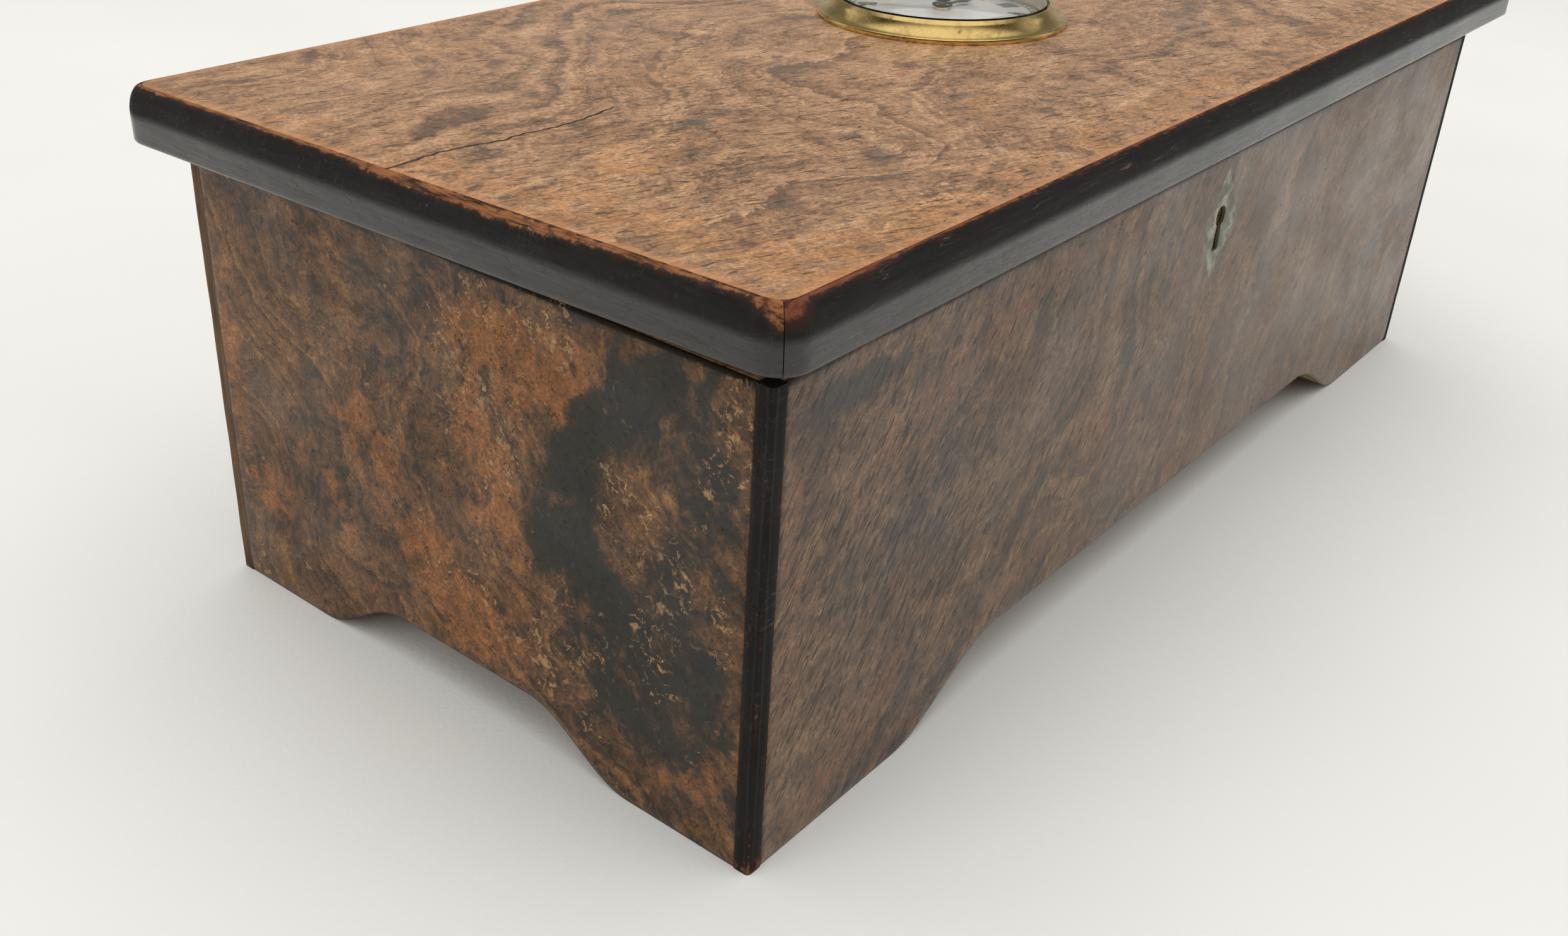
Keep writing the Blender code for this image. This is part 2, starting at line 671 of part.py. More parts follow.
def make_hinges(walls, skins, board):
    for name, side in (("left", -1), ("right", 1)):
        x = side * (RIGHT - HINGE_FROM_END)
        seat = leaf_seat(f"hinge_seat_{name}", x, RIM - LEAF - GLUE_LINE, RIM + MM)
        cut(walls["back"], seat)
        cut(skins["back"], seat)
        hinge_leaf(f"hinge_{name}_body_leaf", x, RIM - LEAF, RIM, (0, 2))
        lid_seat = leaf_seat(f"lid_seat_{name}", x, LID_SEAT - MM, LID_SEAT + LEAF + GLUE_LINE)
        cut(board, on_lid(lid_seat))
        for piece in hinge_leaf(f"hinge_{name}_lid_leaf", x, LID_SEAT, LID_SEAT + LEAF, (1,)):
            on_lid(piece)
        half = HINGE_LENGTH / 2
        rod_along_x(f"hinge_{name}_pin", PIN_RADIUS, x - half, x + half, STEEL, 12)


# --- the lid -----------------------------------------------------------------------------------
def make_board():
    """The lid's core: a broad board with a shallow step round its underside."""
    hole = circle((0, CLOCK_BACK), CLOCK_HOLE)
    broad = rounded_rectangle(RIGHT + BOARD_OVERHANG, BACK + BOARD_OVERHANG, BOARD_CORNER)
    inset = REBATE_INSET
    step = rectangle(-RIGHT + inset, FRONT + inset, RIGHT - inset, BACK - inset)
    middle = (0, 0, (LID_STEP + BOARD_TOP) / 2)
    board = plate("lid_board", [broad, hole], BOARD_TOP - LID_STEP, middle, material=MAHOGANY)
    overlap = MM
    height = LID_REBATE + overlap
    lower = plate("lid_step", [step, hole], height, (0, 0, LID_SEAT + height / 2))
    join(on_lid(board), on_lid(lower))
    thickness_middle = (0, 0, LID_TOP - LID_VENEER / 2)
    on_lid(plate("lid_veneer", [broad, hole], LID_VENEER, thickness_middle, material=WALNUT))
    make_lid_lining()
    return board


def make_lid_lining():
    half_x = RIGHT - WALL - LINING - 3 * GLUE_LINE
    front = HOOK_Y + LINK_WIDTH / 2 + 4 * GLUE_LINE
    back = BACK - WALL - LINING - 3 * GLUE_LINE
    hole = circle((0, CLOCK_BACK), CLOCK_HOLE + CLAMP_WIDTH + SLIDE_PLAY)
    middle = (0, 0, LID_SEAT - GLUE_LINE - LID_LINING / 2)
    loop = rectangle(-half_x, front, half_x, back)
    on_lid(plate("lid_lining", [loop, hole], LID_LINING, middle, material=VELVET))


def edging_profile():
    """(outwards, up) round the edging's section: a small foot, an upright face, a round-over."""
    foot = [
        (EDGING_WIDTH - EDGING_FOOT * (1 - sin(a)), EDGING_FOOT * (1 - cos(a)))
        for a in np.linspace(0, pi / 2, 4)
    ]
    across = EDGING_WIDTH - EDGING_FLAT
    up = EDGING_HEIGHT - EDGING_FACE
    shoulder = [
        (EDGING_FLAT + across * cos(a), EDGING_FACE + up * sin(a))
        for a in np.linspace(0, pi / 2, 7)
    ]
    return [(0, 0)] + foot + shoulder + [(0, EDGING_HEIGHT)]


def make_edging():
    """Four strips, each swept along its side and half of each corner, with mitred ends."""
    half_x = RIGHT + BOARD_OVERHANG
    half_y = BACK + BOARD_OVERHANG
    radius = BOARD_CORNER + GLUE_LINE
    mitre = pi / 4 - GLUE_LINE / 2 / radius
    for name, turn, half_run, reach in (
        ("front", 0, half_x, half_y),
        ("right", pi / 2, half_y, half_x),
        ("back", pi, half_x, half_y),
        ("left", -pi / 2, half_y, half_x),
    ):
        stations = []
        for side in (-1, 1):
            bends = np.linspace(mitre, 0, 4) if side < 0 else np.linspace(0, mitre, 4)
            corner = side * (half_run - BOARD_CORNER)
            stations += [(corner, side * bend) for bend in bends]
        on_lid(sweep_edging("lid_edging_" + name, stations, turn, reach - BOARD_CORNER, radius))


def sweep_edging(name, stations, turn, reach, radius):
    """Carries the section past stations of (distance along the side, angle of its outward way)."""
    profile = edging_profile()
    shape = bmesh.new()
    rings = []
    for corner, bend in stations:
        ring = []
        for out, up in profile:
            x = corner + (radius + out) * sin(bend)
            y = -reach - (radius + out) * cos(bend)
            ring.append(shape.verts.new((x, y, LID_STEP + up)))
        rings.append(ring)
    count = len(profile)
    for ring, following in zip(rings, rings[1:]):
        for n in range(count):
            m = (n + 1) % count
            shape.faces.new((ring[n], ring[m], following[m], following[n]))
    shape.faces.new(rings[0])
    shape.faces.new(rings[-1])
    bmesh.ops.recalc_face_normals(shape, faces=shape.faces)
    bmesh.ops.rotate(shape, matrix=Matrix.Rotation(turn, 3, "Z"), verts=shape.verts)
    mesh = bpy.data.meshes.new(name)
    shape.to_mesh(mesh)
    shape.free()
    return add_object(name, mesh, EBONISED)


# --- the clock ---------------------------------------------------------------------------------
def clock_piece(obj):
    """Places a piece made round the clock's own centre."""
    obj.location = Vector(obj.location) + CLOCK
    return on_lid(obj)


def at_angle(angle, distance):
    return (distance * cos(angle), distance * sin(angle), 0)


def make_clock_case():
    """Bezel, glass, drum, back cover and the ring that clamps the drum under the lid."""
    slope_top = GLASS_RADIUS + 2 * SLIDE_PLAY + 0.6 * MM
    hollow = [
        (
            BEZEL_RADIUS - 0.6 * MM - (BEZEL_RADIUS - 0.6 * MM - slope_top) * t,
            BEZEL_LIP + (BEZEL_RISE - BEZEL_LIP) * (0.35 * t + 0.65 * t * t),
        )
        for t in np.linspace(0, 1, 6)
    ]
    seat = GLASS_RADIUS + GLUE_LINE
    bezel = (
        hollow[::-1]
        + [(BEZEL_RADIUS, BEZEL_LIP - 0.3 * MM), (BEZEL_RADIUS, GLUE_LINE)]
        + [(CASE_RADIUS, GLUE_LINE), (CASE_RADIUS, -SKIRT_DEPTH), (CASE_INSIDE, -SKIRT_DEPTH)]
        + [(CASE_INSIDE, DIAL_TOP + GLUE_LINE), (CASE_INSIDE - 0.6 * MM, DIAL_TOP + GLUE_LINE)]
        + [(CASE_INSIDE - 0.6 * MM, GLASS_SEAT), (seat, GLASS_SEAT), (seat, BEZEL_RISE)]
    )
    clock_piece(turned("clock_bezel", bezel, (0, 0, 0), BRASS, 48, ring=True))
    make_glass()
    top, low = -SKIRT_DEPTH - GLUE_LINE, -CASE_DEPTH
    drum = [(CASE_RADIUS, top), (CASE_RADIUS, low), (CASE_INSIDE, low), (CASE_INSIDE, top)]
    clock_piece(turned("clock_case", drum, (0, 0, 0), BRASS, 40, ring=True))
    make_clamp_ring()


def make_glass():
    """A shallow dome of even thickness on a flat rim."""
    low = GLASS_SEAT + GLUE_LINE
    rim = GLASS_RADIUS - 1.2 * MM
    along = np.linspace(0, 1, 7)
    outer = [(rim * t, low + GLASS + GLASS_DOME * (1 - t * t)) for t in along]
    inner = [((rim - 0.3 * MM) * t, low + GLASS_DOME * (1 - t * t)) for t in along[::-1]]
    profile = outer + [(GLASS_RADIUS, low + GLASS), (GLASS_RADIUS, low)] + inner
    clock_piece(turned("clock_glass", profile, (0, 0, 0), CRYSTAL, 40))


def make_clamp_ring():
    """A brass ring under the lid, held by three screws, that keeps the case in its hole."""
    inner = CASE_RADIUS + SLIDE_PLAY
    outer = inner + CLAMP_WIDTH
    top = LID_SEAT - LID_TOP - GLUE_LINE
    low = top - CLAMP
    section = [(outer, top), (outer, low), (inner, low), (inner, top)]
    ring = clock_piece(turned("clock_clamp_ring", section, (0, 0, 0), BRASS, 40, ring=True))
    middle = (inner + outer) / 2
    level = CLOCK + Vector((0, 0, low))
    spots = [Vector(at_angle(n * tau / 3 + pi / 2, middle)) + level for n in range(3)]
    made, holes = screws("clamp_screw", spots, -1)
    for obj in made + holes:
        on_lid(obj)
    cut(ring, *holes)
    cut(bpy.data.objects["lid_board"], *holes)


def make_dial_and_hands():
    dial_radius = CASE_INSIDE - SLIDE_PLAY
    pipe = ARBOR + 1.1 * MM
    low = DIAL_TOP - DIAL
    bore = pipe + TURN_PLAY
    section = [(dial_radius, DIAL_TOP), (dial_radius, low), (bore, low), (bore, DIAL_TOP)]
    clock_piece(turned("clock_dial", section, (0, 0, 0), ENAMEL, 40, ring=True))
    hour_level = DIAL_TOP + HANDS_APART
    minute_level = hour_level + HAND + HANDS_APART
    play = TURN_PLAY / 2
    hour, minute = HOUR_HAND_REACH * CASE_INSIDE, MINUTE_HAND_REACH * CASE_INSIDE
    make_hand("hour_hand", hour, pipe + play, HOUR_BOSS, hour_level, HOUR_HAND_ANGLE)
    make_hand("minute_hand", minute, ARBOR + play, MINUTE_BOSS, minute_level, MINUTE_HAND_ANGLE)


def make_hand(name, length, bore, boss, level, angle):
    """A tapering hand with a round boss and a leaf-shaped swelling near its point."""
    widest = 0.62 * length
    edge = [
        (widest - HAND_SWELL_LENGTH, HAND_STEM),
        (widest, HAND_SWELL),
        (widest + HAND_SWELL_LENGTH, HAND_STEM),
    ]
    blade = [(x, -y) for x, y in edge] + [(length, 0.0)] + edge[::-1]
    start = np.arcsin(HAND_STEM / boss)
    loops = [arc((0, 0), boss, start, tau - start, 16) + blade, circle((0, 0), bore, 12)]
    middle = (0, 0, level + HAND / 2)
    clock_piece(plate(name, loops, HAND, middle, (0, 0, angle), BLUED))


def wheel(name, parts, at, material=BRASS, steps=24):
    """A wheel on its arbor: parts are (radius, low, high) down the arbor, from the top."""
    profile = [(0, parts[0][2])]
    for radius, low, high in parts:
        profile += [(radius, high), (radius, low)]
    profile.append((0, parts[-1][1]))
    return clock_piece(turned(name, profile, at, material, steps))


def make_motion_work():
    """Cannon pinion, minute wheel and hour wheel: twelve turns of one hand to one of the other."""
    cannon = MOTION_CENTRES / (CANNON_TEETH_RATIO + 1)
    minute_pinion = MOTION_CENTRES / (HOUR_TEETH_RATIO + 1)
    play = TURN_PLAY / 2
    base = FRONT_PLATE_TOP + GLUE_LINE
    top = DIAL_TOP + 2 * HANDS_APART + 2 * HAND + 0.4 * MM
    pipe = ARBOR + 0.45 * MM
    minute_low = DIAL_TOP + 2 * HANDS_APART + HAND
    section = [
        (pipe, minute_low - GLUE_LINE),
        (pipe, base + WHEEL + GLUE_LINE),
        (cannon - play, base + WHEEL + GLUE_LINE),
        (cannon - play, base),
        (ARBOR + play, base),
        (ARBOR + play, minute_low - GLUE_LINE),
    ]
    clock_piece(turned("cannon_pinion", section, (0, 0, 0), STEEL, 16, ring=True))
    hour_base = base + WHEEL + 3 * GLUE_LINE
    hour = MOTION_CENTRES - minute_pinion - play
    hour_pipe = pipe + TURN_PLAY + 0.3 * MM
    section = [
        (hour_pipe, DIAL_TOP + HANDS_APART - GLUE_LINE),
        (hour_pipe, hour_base + WHEEL),
        (hour, hour_base + WHEEL),
        (hour, hour_base),
        (pipe + TURN_PLAY, hour_base),
        (pipe + TURN_PLAY, DIAL_TOP + HANDS_APART - GLUE_LINE),
    ]
    clock_piece(turned("hour_wheel", section, (0, 0, 0), BRASS, 24, ring=True))
    minute = MOTION_CENTRES - cannon - play
    at = at_angle(MINUTE_WHEEL_ANGLE, MOTION_CENTRES)
    parts = [
        (minute_pinion - play, base + WHEEL - GLUE_LINE, hour_base + WHEEL),
        (minute, base, base + WHEEL - GLUE_LINE),
    ]
    wheel("minute_wheel", parts, at)
    return top


def make_movement(top):
    """Plates, pillars, barrel, centre and third wheels and the platform escapement."""
    radius = CASE_INSIDE - 2 * SLIDE_PLAY
    barrel_at = at_angle(BARREL_ANGLE, BARREL_RADIUS + CENTRE_PINION + TURN_PLAY)
    third_at = at_angle(THIRD_ANGLE, CENTRE_WHEEL + THIRD_PINION + TURN_PLAY)
    hole = ARBOR + TURN_PLAY
    holes = [circle((0, 0), hole, 12), circle(third_at[:2], hole, 12)]
    front = FRONT_PLATE_TOP - PLATE
    rear = BACK_PLATE_TOP - PLATE
    winding = circle(barrel_at[:2], WINDING_ARBOR + TURN_PLAY, 12)
    disc = circle((0, 0), radius)
    for name, low, extra in (("front_plate", front, []), ("back_plate", rear, [winding])):
        loops = [disc] + holes + extra
        middle = (0, 0, low + PLATE / 2)
        clock_piece(plate("movement_" + name, loops, PLATE, middle, material=BRASS))
    for n in range(3):
        spot = at_angle(n * tau / 3 + pi / 6, radius - PILLAR_INSET)
        foot = BACK_PLATE_TOP + GLUE_LINE
        pillar = rod(f"pillar_{n}", PILLAR_RADIUS, foot, front + PLATE / 2, spot, steps=12)
        join(bpy.data.objects["movement_front_plate"], clock_piece(pillar))
    upper = front - 2 * GLUE_LINE - WHEEL
    make_barrel(barrel_at, upper)
    parts = [
        (ARBOR, upper + WHEEL, top),
        (CENTRE_WHEEL, upper, upper + WHEEL),
        (CENTRE_PINION, BACK_PLATE_TOP + 2 * GLUE_LINE, upper),
        (ARBOR, -CASE_DEPTH - BACK_COVER - 2.2 * MM, BACK_PLATE_TOP + 2 * GLUE_LINE),
    ]
    wheel("centre_wheel", parts, (0, 0, 0))
    lower = BACK_PLATE_TOP + 3 * GLUE_LINE
    parts = [
        (ARBOR, upper + WHEEL, front + PLATE / 2),
        (THIRD_PINION, lower + WHEEL, upper + WHEEL),
        (THIRD_WHEEL, lower, lower + WHEEL),
        (ARBOR, rear + PLATE / 2, lower),
    ]
    wheel("third_wheel", parts, third_at)
    middle = Vector(at_angle(ESCAPEMENT_ANGLE, ESCAPEMENT_CIRCLE))
    half = ESCAPEMENT_SIZE / 2
    middle.z = upper - 2 * GLUE_LINE - half.z
    clock_piece(box("platform_escapement", middle - half, middle + half, BRASS, bevel=0.5 * MM))
    return barrel_at


def make_barrel(at, upper):
    """The going barrel, which turns round the winding arbor."""
    high = upper - 2 * GLUE_LINE
    low = BACK_PLATE_TOP + 2 * GLUE_LINE
    inner = WINDING_ARBOR + TURN_PLAY
    section = [
        (BARREL_RADIUS, high),
        (BARREL_RADIUS, low),
        (inner, low),
        (inner, low + MM),
        (BARREL_RADIUS - MM, low + MM),
        (BARREL_RADIUS - MM, high - MM),
        (inner, high - MM),
        (inner, high),
    ]
    clock_piece(turned("mainspring_barrel", section, at, BRASS, 28, ring=True))


def make_back(barrel_at):
    """The back cover, the winding key and the hand-setting knob that stand out of it."""
    top = -CASE_DEPTH - GLUE_LINE
    middle = (0, 0, top - BACK_COVER / 2)
    loops = [
        circle((0, 0), CASE_RADIUS),
        circle((0, 0), ARBOR + TURN_PLAY, 12),
        circle(barrel_at[:2], WINDING_ARBOR + TURN_PLAY, 12),
    ]
    clock_piece(plate("clock_back_cover", loops, BACK_COVER, middle, material=BRASS))
    under = top - BACK_COVER
    high = FRONT_PLATE_TOP - PLATE - 4 * GLUE_LINE - WHEEL - MM
    key = rod("winding_key", WINDING_ARBOR, under - KEY_LENGTH, high, barrel_at, STEEL, 14)
    middle = Vector(barrel_at) + Vector((0, 0, under - KEY_BOW_DROP - KEY_BOW.z / 2))
    bow = box("key_bow", middle - KEY_BOW / 2, middle + KEY_BOW / 2, bevel=0.6 * MM)
    join(clock_piece(key), clock_piece(bow))
    high = under - 2 * GLUE_LINE
    low = high - KNOB
    bore = ARBOR + GLUE_LINE / 2
    knob = [(KNOB_RADIUS, high), (KNOB_RADIUS, low), (bore, low), (bore, high)]
    clock_piece(turned("hand_setting_knob", knob, (0, 0, 0), BRASS, 20, ring=True))


# --- the whole ---------------------------------------------------------------------------------
def shade():
    for obj in PARTS.objects:
        if obj.type == "MESH":
            obj.data.shade_smooth()
            obj.data.set_sharp_from_angle(angle=SMOOTH_ANGLE)


def main():
    walls = make_walls()
    skins = make_veneers()
    make_corner_strips()
    make_bottom()
    make_linings()
    hole = make_escutcheon(walls["front"], skins["front"])
    make_lock(walls["front"], hole)
    board = make_board()
    make_edging()
    make_link_plate(board)
    make_hinges(walls, skins, board)
    make_clock_case()
    make_dial_and_hands()
    top = make_motion_work()
    barrel_at = make_movement(top)
    make_back(barrel_at)
    shade()


main()
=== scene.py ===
# %% [markdown]
# # A lockable walnut box with a clock let into its lid
# The box is pine covered with thin burr-walnut veneer. Black-stained moulding runs round the lid,
# black strips guard the four upright corners, and a small clock sits in the lid.
# This lesson puts a careful surface on every part of it. Shapes are worked out with numpy, and
# colours, gloss and small relief come from shader nodes.

import bmesh
import bpy
import numpy as np
from mathutils import Matrix, Vector


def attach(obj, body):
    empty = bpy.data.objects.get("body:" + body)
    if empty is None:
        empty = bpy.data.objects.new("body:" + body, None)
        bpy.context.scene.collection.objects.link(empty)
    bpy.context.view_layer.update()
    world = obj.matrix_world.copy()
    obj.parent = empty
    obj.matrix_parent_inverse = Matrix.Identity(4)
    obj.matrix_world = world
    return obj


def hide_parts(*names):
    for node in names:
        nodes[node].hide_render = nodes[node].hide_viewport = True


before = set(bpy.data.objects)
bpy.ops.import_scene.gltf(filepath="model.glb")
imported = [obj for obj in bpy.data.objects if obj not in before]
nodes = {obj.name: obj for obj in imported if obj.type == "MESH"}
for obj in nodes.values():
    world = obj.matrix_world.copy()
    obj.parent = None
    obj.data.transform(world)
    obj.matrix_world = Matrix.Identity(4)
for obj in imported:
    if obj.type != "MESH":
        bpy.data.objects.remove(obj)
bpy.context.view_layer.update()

# %% [markdown]
# ## Sizes
# The same sizes as the solids have, in millimetres, because a box this small is easier to think
# about in millimetres. Every mesh is turned into metres at the very end, when it is made.
# The lid rests 1.35 degrees open, so its pieces are worked out on a shut lid and then turned
# about the hinge axis.

# %% Sizes in millimetres
HALF_LONG, HALF_DEEP, RIM = 157.0, 73.0, 95.0
VENEER, STRIP = 0.8, 3.3
LID_UNDERSIDE, LID_STEP, LID_TOP = 95.4, 97.3, 108.1
LID_INNER = (162.3, 78.3, 3.1)  # half length, half depth and corner radius inside the edging
EDGING_WIDTH, EDGING_FACE, EDGING_HEIGHT = 2.9, 5.4, 10.8
CLOCK = np.array([0.0, 3.5, LID_TOP])
HINGE_AXIS, LID_OPEN = (75.1, 95.2), np.radians(1.35)
print("hinge axis at", HINGE_AXIS, "mm, lid open", round(float(np.degrees(LID_OPEN)), 2), "degrees")

# %% [markdown]
# ## From numbers to a mesh
# A surface is a grid of points: one parameter runs along its rows and one along its columns.
# Joining each point to its neighbours gives four-sided faces. Blender can also sweep or lathe a
# curve, but a grid keeps each point's own numbers, such as how worn it is, beside its place.


# %% Surfaces on a grid
def grid_faces(rows, columns, round_rows=False, round_columns=False):
    """Quads between neighbours of a grid. A round direction joins its last line to its first."""
    i = np.arange(rows if round_rows else rows - 1)[:, None]
    j = np.arange(columns if round_columns else columns - 1)[None, :]
    up, over = (i + 1) % rows, (j + 1) % columns
    corners = (i * columns + j, up * columns + j, up * columns + over, i * columns + over)
    return np.stack([c + 0 * i + 0 * j for c in corners], -1).reshape(-1, 4)


def end_caps(points, columns):
    """A flat face over each end of a section that was carried along a path."""
    last = len(points) - columns
    return [list(range(columns)), list(range(last, len(points)))]


def tip_lid(points):
    """Turns points of a shut lid about the hinge axis, to the angle at which the lid rests."""
    y, z = points[:, 1] - HINGE_AXIS[0], points[:, 2] - HINGE_AXIS[1]
    cos, sin = np.cos(LID_OPEN), np.sin(LID_OPEN)
    turned = (points[:, 0], y * cos + z * sin + HINGE_AXIS[0], z * cos - y * sin + HINGE_AXIS[1])
    return np.stack(turned, 1)


def make_piece(
    name, points, faces, body, finish, replaces=(), numbers=None, smooth=30, sheet=False
):
    """Makes one piece from points in millimetres and quads, and fixes it to a body.

    numbers holds an attribute of three values for each point, which a material can read.
    A sheet is left open and keeps the side its faces already look to.
    """
    if body == "lid":
        points = tip_lid(points)
    mesh = bpy.data.meshes.new(name)
    mesh.from_pydata((points / 1000).tolist(), [], [list(map(int, f)) for f in faces])
    for label, values in (numbers or {}).items():
        attribute = mesh.attributes.new(label, "FLOAT_VECTOR", "POINT")
        attribute.data.foreach_set("vector", np.ascontiguousarray(values, np.float32).ravel())
    if not sheet:
        shape = bmesh.new()
        shape.from_mesh(mesh)
        bmesh.ops.remove_doubles(shape, verts=shape.verts, dist=2e-6)
        bmesh.ops.dissolve_degenerate(shape, edges=shape.edges, dist=1e-7)
        bmesh.ops.recalc_face_normals(shape, faces=shape.faces)
        shape.to_mesh(mesh)
        shape.free()
    mesh.shade_smooth()
    mesh.set_sharp_from_angle(angle=np.radians(smooth))
    piece = bpy.data.objects.new(name, mesh)
    bpy.context.scene.collection.objects.link(piece)
    mesh.materials.append(finish)
    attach(piece, body)
    if replaces:
        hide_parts(*replaces)
    print(f"{name}: {len(mesh.polygons)} faces")
    return piece


# %% [markdown]
# ## A shorter way to write shader graphs
# A material is a graph of small nodes. Each method below adds one node and gives back the socket
# that leaves it, so a recipe reads like ordinary sums.


# %% Graph helper
class Graph:
    """Adds nodes to one node tree. A value may be a number, a colour or another node's socket."""

    def __init__(self, tree):
        self.tree = tree

    def add(self, kind, values=None, **settings):
        node = self.tree.nodes.new(kind if kind.startswith("Node") else "ShaderNode" + kind)
        for key, value in settings.items():
            setattr(node, key, value)
        for key, value in (values or {}).items():
            self.plug(node.inputs[key], value)
        return node

    def plug(self, socket, value):
        if isinstance(value, bpy.types.NodeSocket):
            self.tree.links.new(value, socket)
        elif isinstance(value, tuple) and len(value) == 3 and socket.type == "RGBA":
            socket.default_value = (*value, 1)
        else:
            socket.default_value = value

    def math(self, operation, *values, clamp=False):
        return self.add(
            "Math", dict(enumerate(values)), operation=operation, use_clamp=clamp
        ).outputs[0]

    def times(self, a, b):
        return self.math("MULTIPLY", a, b)

    def plus(self, a, b, clamp=False):
        return self.math("ADD", a, b, clamp=clamp)

    def minus(self, a, b):
        return self.math("SUBTRACT", a, b)

    def times_plus(self, a, b, c, clamp=False):
        return self.math("MULTIPLY_ADD", a, b, c, clamp=clamp)

    def vector(self, operation, a, b=(0, 0, 0), scale=None):
        values = {0: a, 1: b} if scale is None else {0: a, "Scale": scale}
        node = self.add("VectorMath", values, operation=operation)
        return node.outputs[1 if operation in ("LENGTH", "DISTANCE", "DOT_PRODUCT") else 0]

    def position(self):
        """The place on the object in millimetres."""
        return self.vector("SCALE", self.add("TexCoord").outputs["Object"], scale=1000.0)

    def stretch(self, at, turn, scale=(1, 1, 1)):
        return self.add("Mapping", {"Vector": at, "Rotation": turn, "Scale": scale}).outputs[0]

    def shrink(self, at, size):
        """The place divided by a size that may come from a socket."""
        size = self.add("CombineXYZ", {k: size for k in range(3)}).outputs[0]
        return self.vector("DIVIDE", at, size)

    def noise(self, at, size, detail=2.0, rough=0.5, swirl=0.0, colour=False):
        """Smooth noise whose largest lumps are about size millimetres across."""
        values = {"Vector": at, "Scale": 1 / size, "Detail": detail, "Roughness": rough}
        return self.add("TexNoise", {**values, "Distortion": swirl}).outputs[1 if colour else 0]

    def streaks(self, at, scale, detail=2.0, rough=0.5, swirl=0.0):
        """Noise drawn out along the axes whose scale is small."""
        return self.noise(self.vector("MULTIPLY", at, scale), 1.0, detail, rough, swirl)

    def lines(self, across, detail, rough):
        """Noise along one number only, so it draws bands where that number stays the same."""
        values = {"W": across, "Scale": 1.0, "Detail": detail, "Roughness": rough}
        return self.add("TexNoise", values, noise_dimensions="1D").outputs[0]

    def cells(self, at, size):
        """Distance to the nearest of many scattered points, in cell sizes."""
        return self.add("TexVoronoi", {"Vector": at, "Scale": 1 / size}).outputs[0]

    def rise(self, value, low, high, to_low=0.0, to_high=1.0):
        """Goes smoothly from to_low to to_high while value goes from low to high."""
        values = {0: value, 1: low, 2: high, 3: to_low, 4: to_high}
        return self.add("MapRange", values, interpolation_type="SMOOTHSTEP").outputs[0]

    def ramp(self, value, *stops):
        """A colour for each value, from stops of (value, colour)."""
        node = self.add("ValToRGB", {0: value})
        band = node.color_ramp.elements
        while len(band) < len(stops):
            band.new(1.0)
        for element, (place, colour) in zip(band, stops):
            element.position = place
            element.color = (*colour, 1)
        return node.outputs[0]

    def mix(self, amount, a, b, blend="MIX"):
        node = self.add("Mix", data_type="RGBA", blend_type=blend)
        for index, value in ((0, amount), (6, a), (7, b)):
            self.plug(node.inputs[index], value)
        return node.outputs[2]

    def darken(self, amount, colour, value, *stops):
        """Multiplies a colour by a grey, which the stops of (value, grey) give."""
        greys = [(place, (grey,) * 3) for place, grey in stops]
        return self.mix(amount, colour, self.ramp(value, *greys), "MULTIPLY")

    def numbers(self, name):
        """The three numbers stored at each point of a piece under this name."""
        at = self.add("Attribute", attribute_name=name).outputs["Vector"]
        return tuple(self.add("SeparateXYZ", {0: at}).outputs)

    def bump(self, height, depth, strength=1.0, normal=None):
        """Relief: height 1 stands depth millimetres above height 0."""
        values = {"Height": height, "Distance": depth / 1000, "Strength": strength}
        if normal is not None:
            values["Normal"] = normal
        return self.add("Bump", values).outputs[0]

    def use(self, group, **values):
        node = self.add("Group", node_tree=group)
        for key, value in values.items():
            self.plug(node.inputs[key.replace("_", " ")], value)
        return node.outputs


def dim(colour, amount):
    return tuple(amount * c for c in colour)


def new_group(name, inputs, outputs):
    """A shader node group with named sockets, and the graph inside it."""
    tree = bpy.data.node_groups.new(name, "ShaderNodeTree")
    for label, value in inputs.items():
        kind = "NodeSocketVector" if isinstance(value, tuple) else "NodeSocketFloat"
        tree.interface.new_socket(label, in_out="INPUT", socket_type=kind).default_value = value
    for label in outputs:
        tree.interface.new_socket(label, in_out="OUTPUT", socket_type="NodeSocketFloat")
    graph = Graph(tree)
    given = graph.add("NodeGroupInput").outputs
    result = graph.add("NodeGroupOutput").inputs
    return tree, graph, given, result


def new_finish(name, **sockets):
    """A material with one Principled shader, and the graph to feed it."""
    material = bpy.data.materials.new(name)
    material.use_nodes = True
    material.node_tree.nodes.clear()
    graph = Graph(material.node_tree)
    shader = graph.add("BsdfPrincipled", sockets)
    output = graph.add("OutputMaterial")
    graph.plug(output.inputs["Surface"], shader.outputs[0])
    return material, graph, shader.inputs


# %% [markdown]
# ## Figure of burr walnut
# A burr is a growth full of buds. The yearly layers wrap round each bud, so a thin slice shows
# rings round small eyes, with wavy lines between them. Drawing lines by hand would take for ever.
# Instead, a piece stores one number at each point, its growth: how deep in the layers it lies.
# Noise along that one number draws the layers, and other noise bends them a little.

# %% Growth lines
growth_lines, g, given, result = new_group(
    "growth lines",
    {"Position": (0.0, 0.0, 0.0), "Growth": 0.0, "Waver": 1.0, "Width": 3.0},
    ("Bands", "Fibres"),
)
slow = g.minus(g.noise(given["Position"], 14, 3, 0.6, 0.8), 0.5)
quick = g.minus(g.noise(given["Position"], 3.2, 3, 0.6, 0.6), 0.5)
tiny = g.minus(g.noise(given["Position"], 0.9, 2), 0.5)
bend = g.plus(g.times(slow, 10.0), g.times(quick, 5.5))
bend = g.times(g.plus(bend, g.times(tiny, 0.7)), given["Waver"])
layer = g.math("DIVIDE", g.plus(given["Growth"], bend), given["Width"])
g.plug(result["Bands"], g.rise(g.lines(layer, 4, 0.62), 0.3, 0.7))
g.plug(result["Fibres"], g.rise(g.lines(g.times(layer, 5.0), 3, 0.7), 0.25, 0.75))

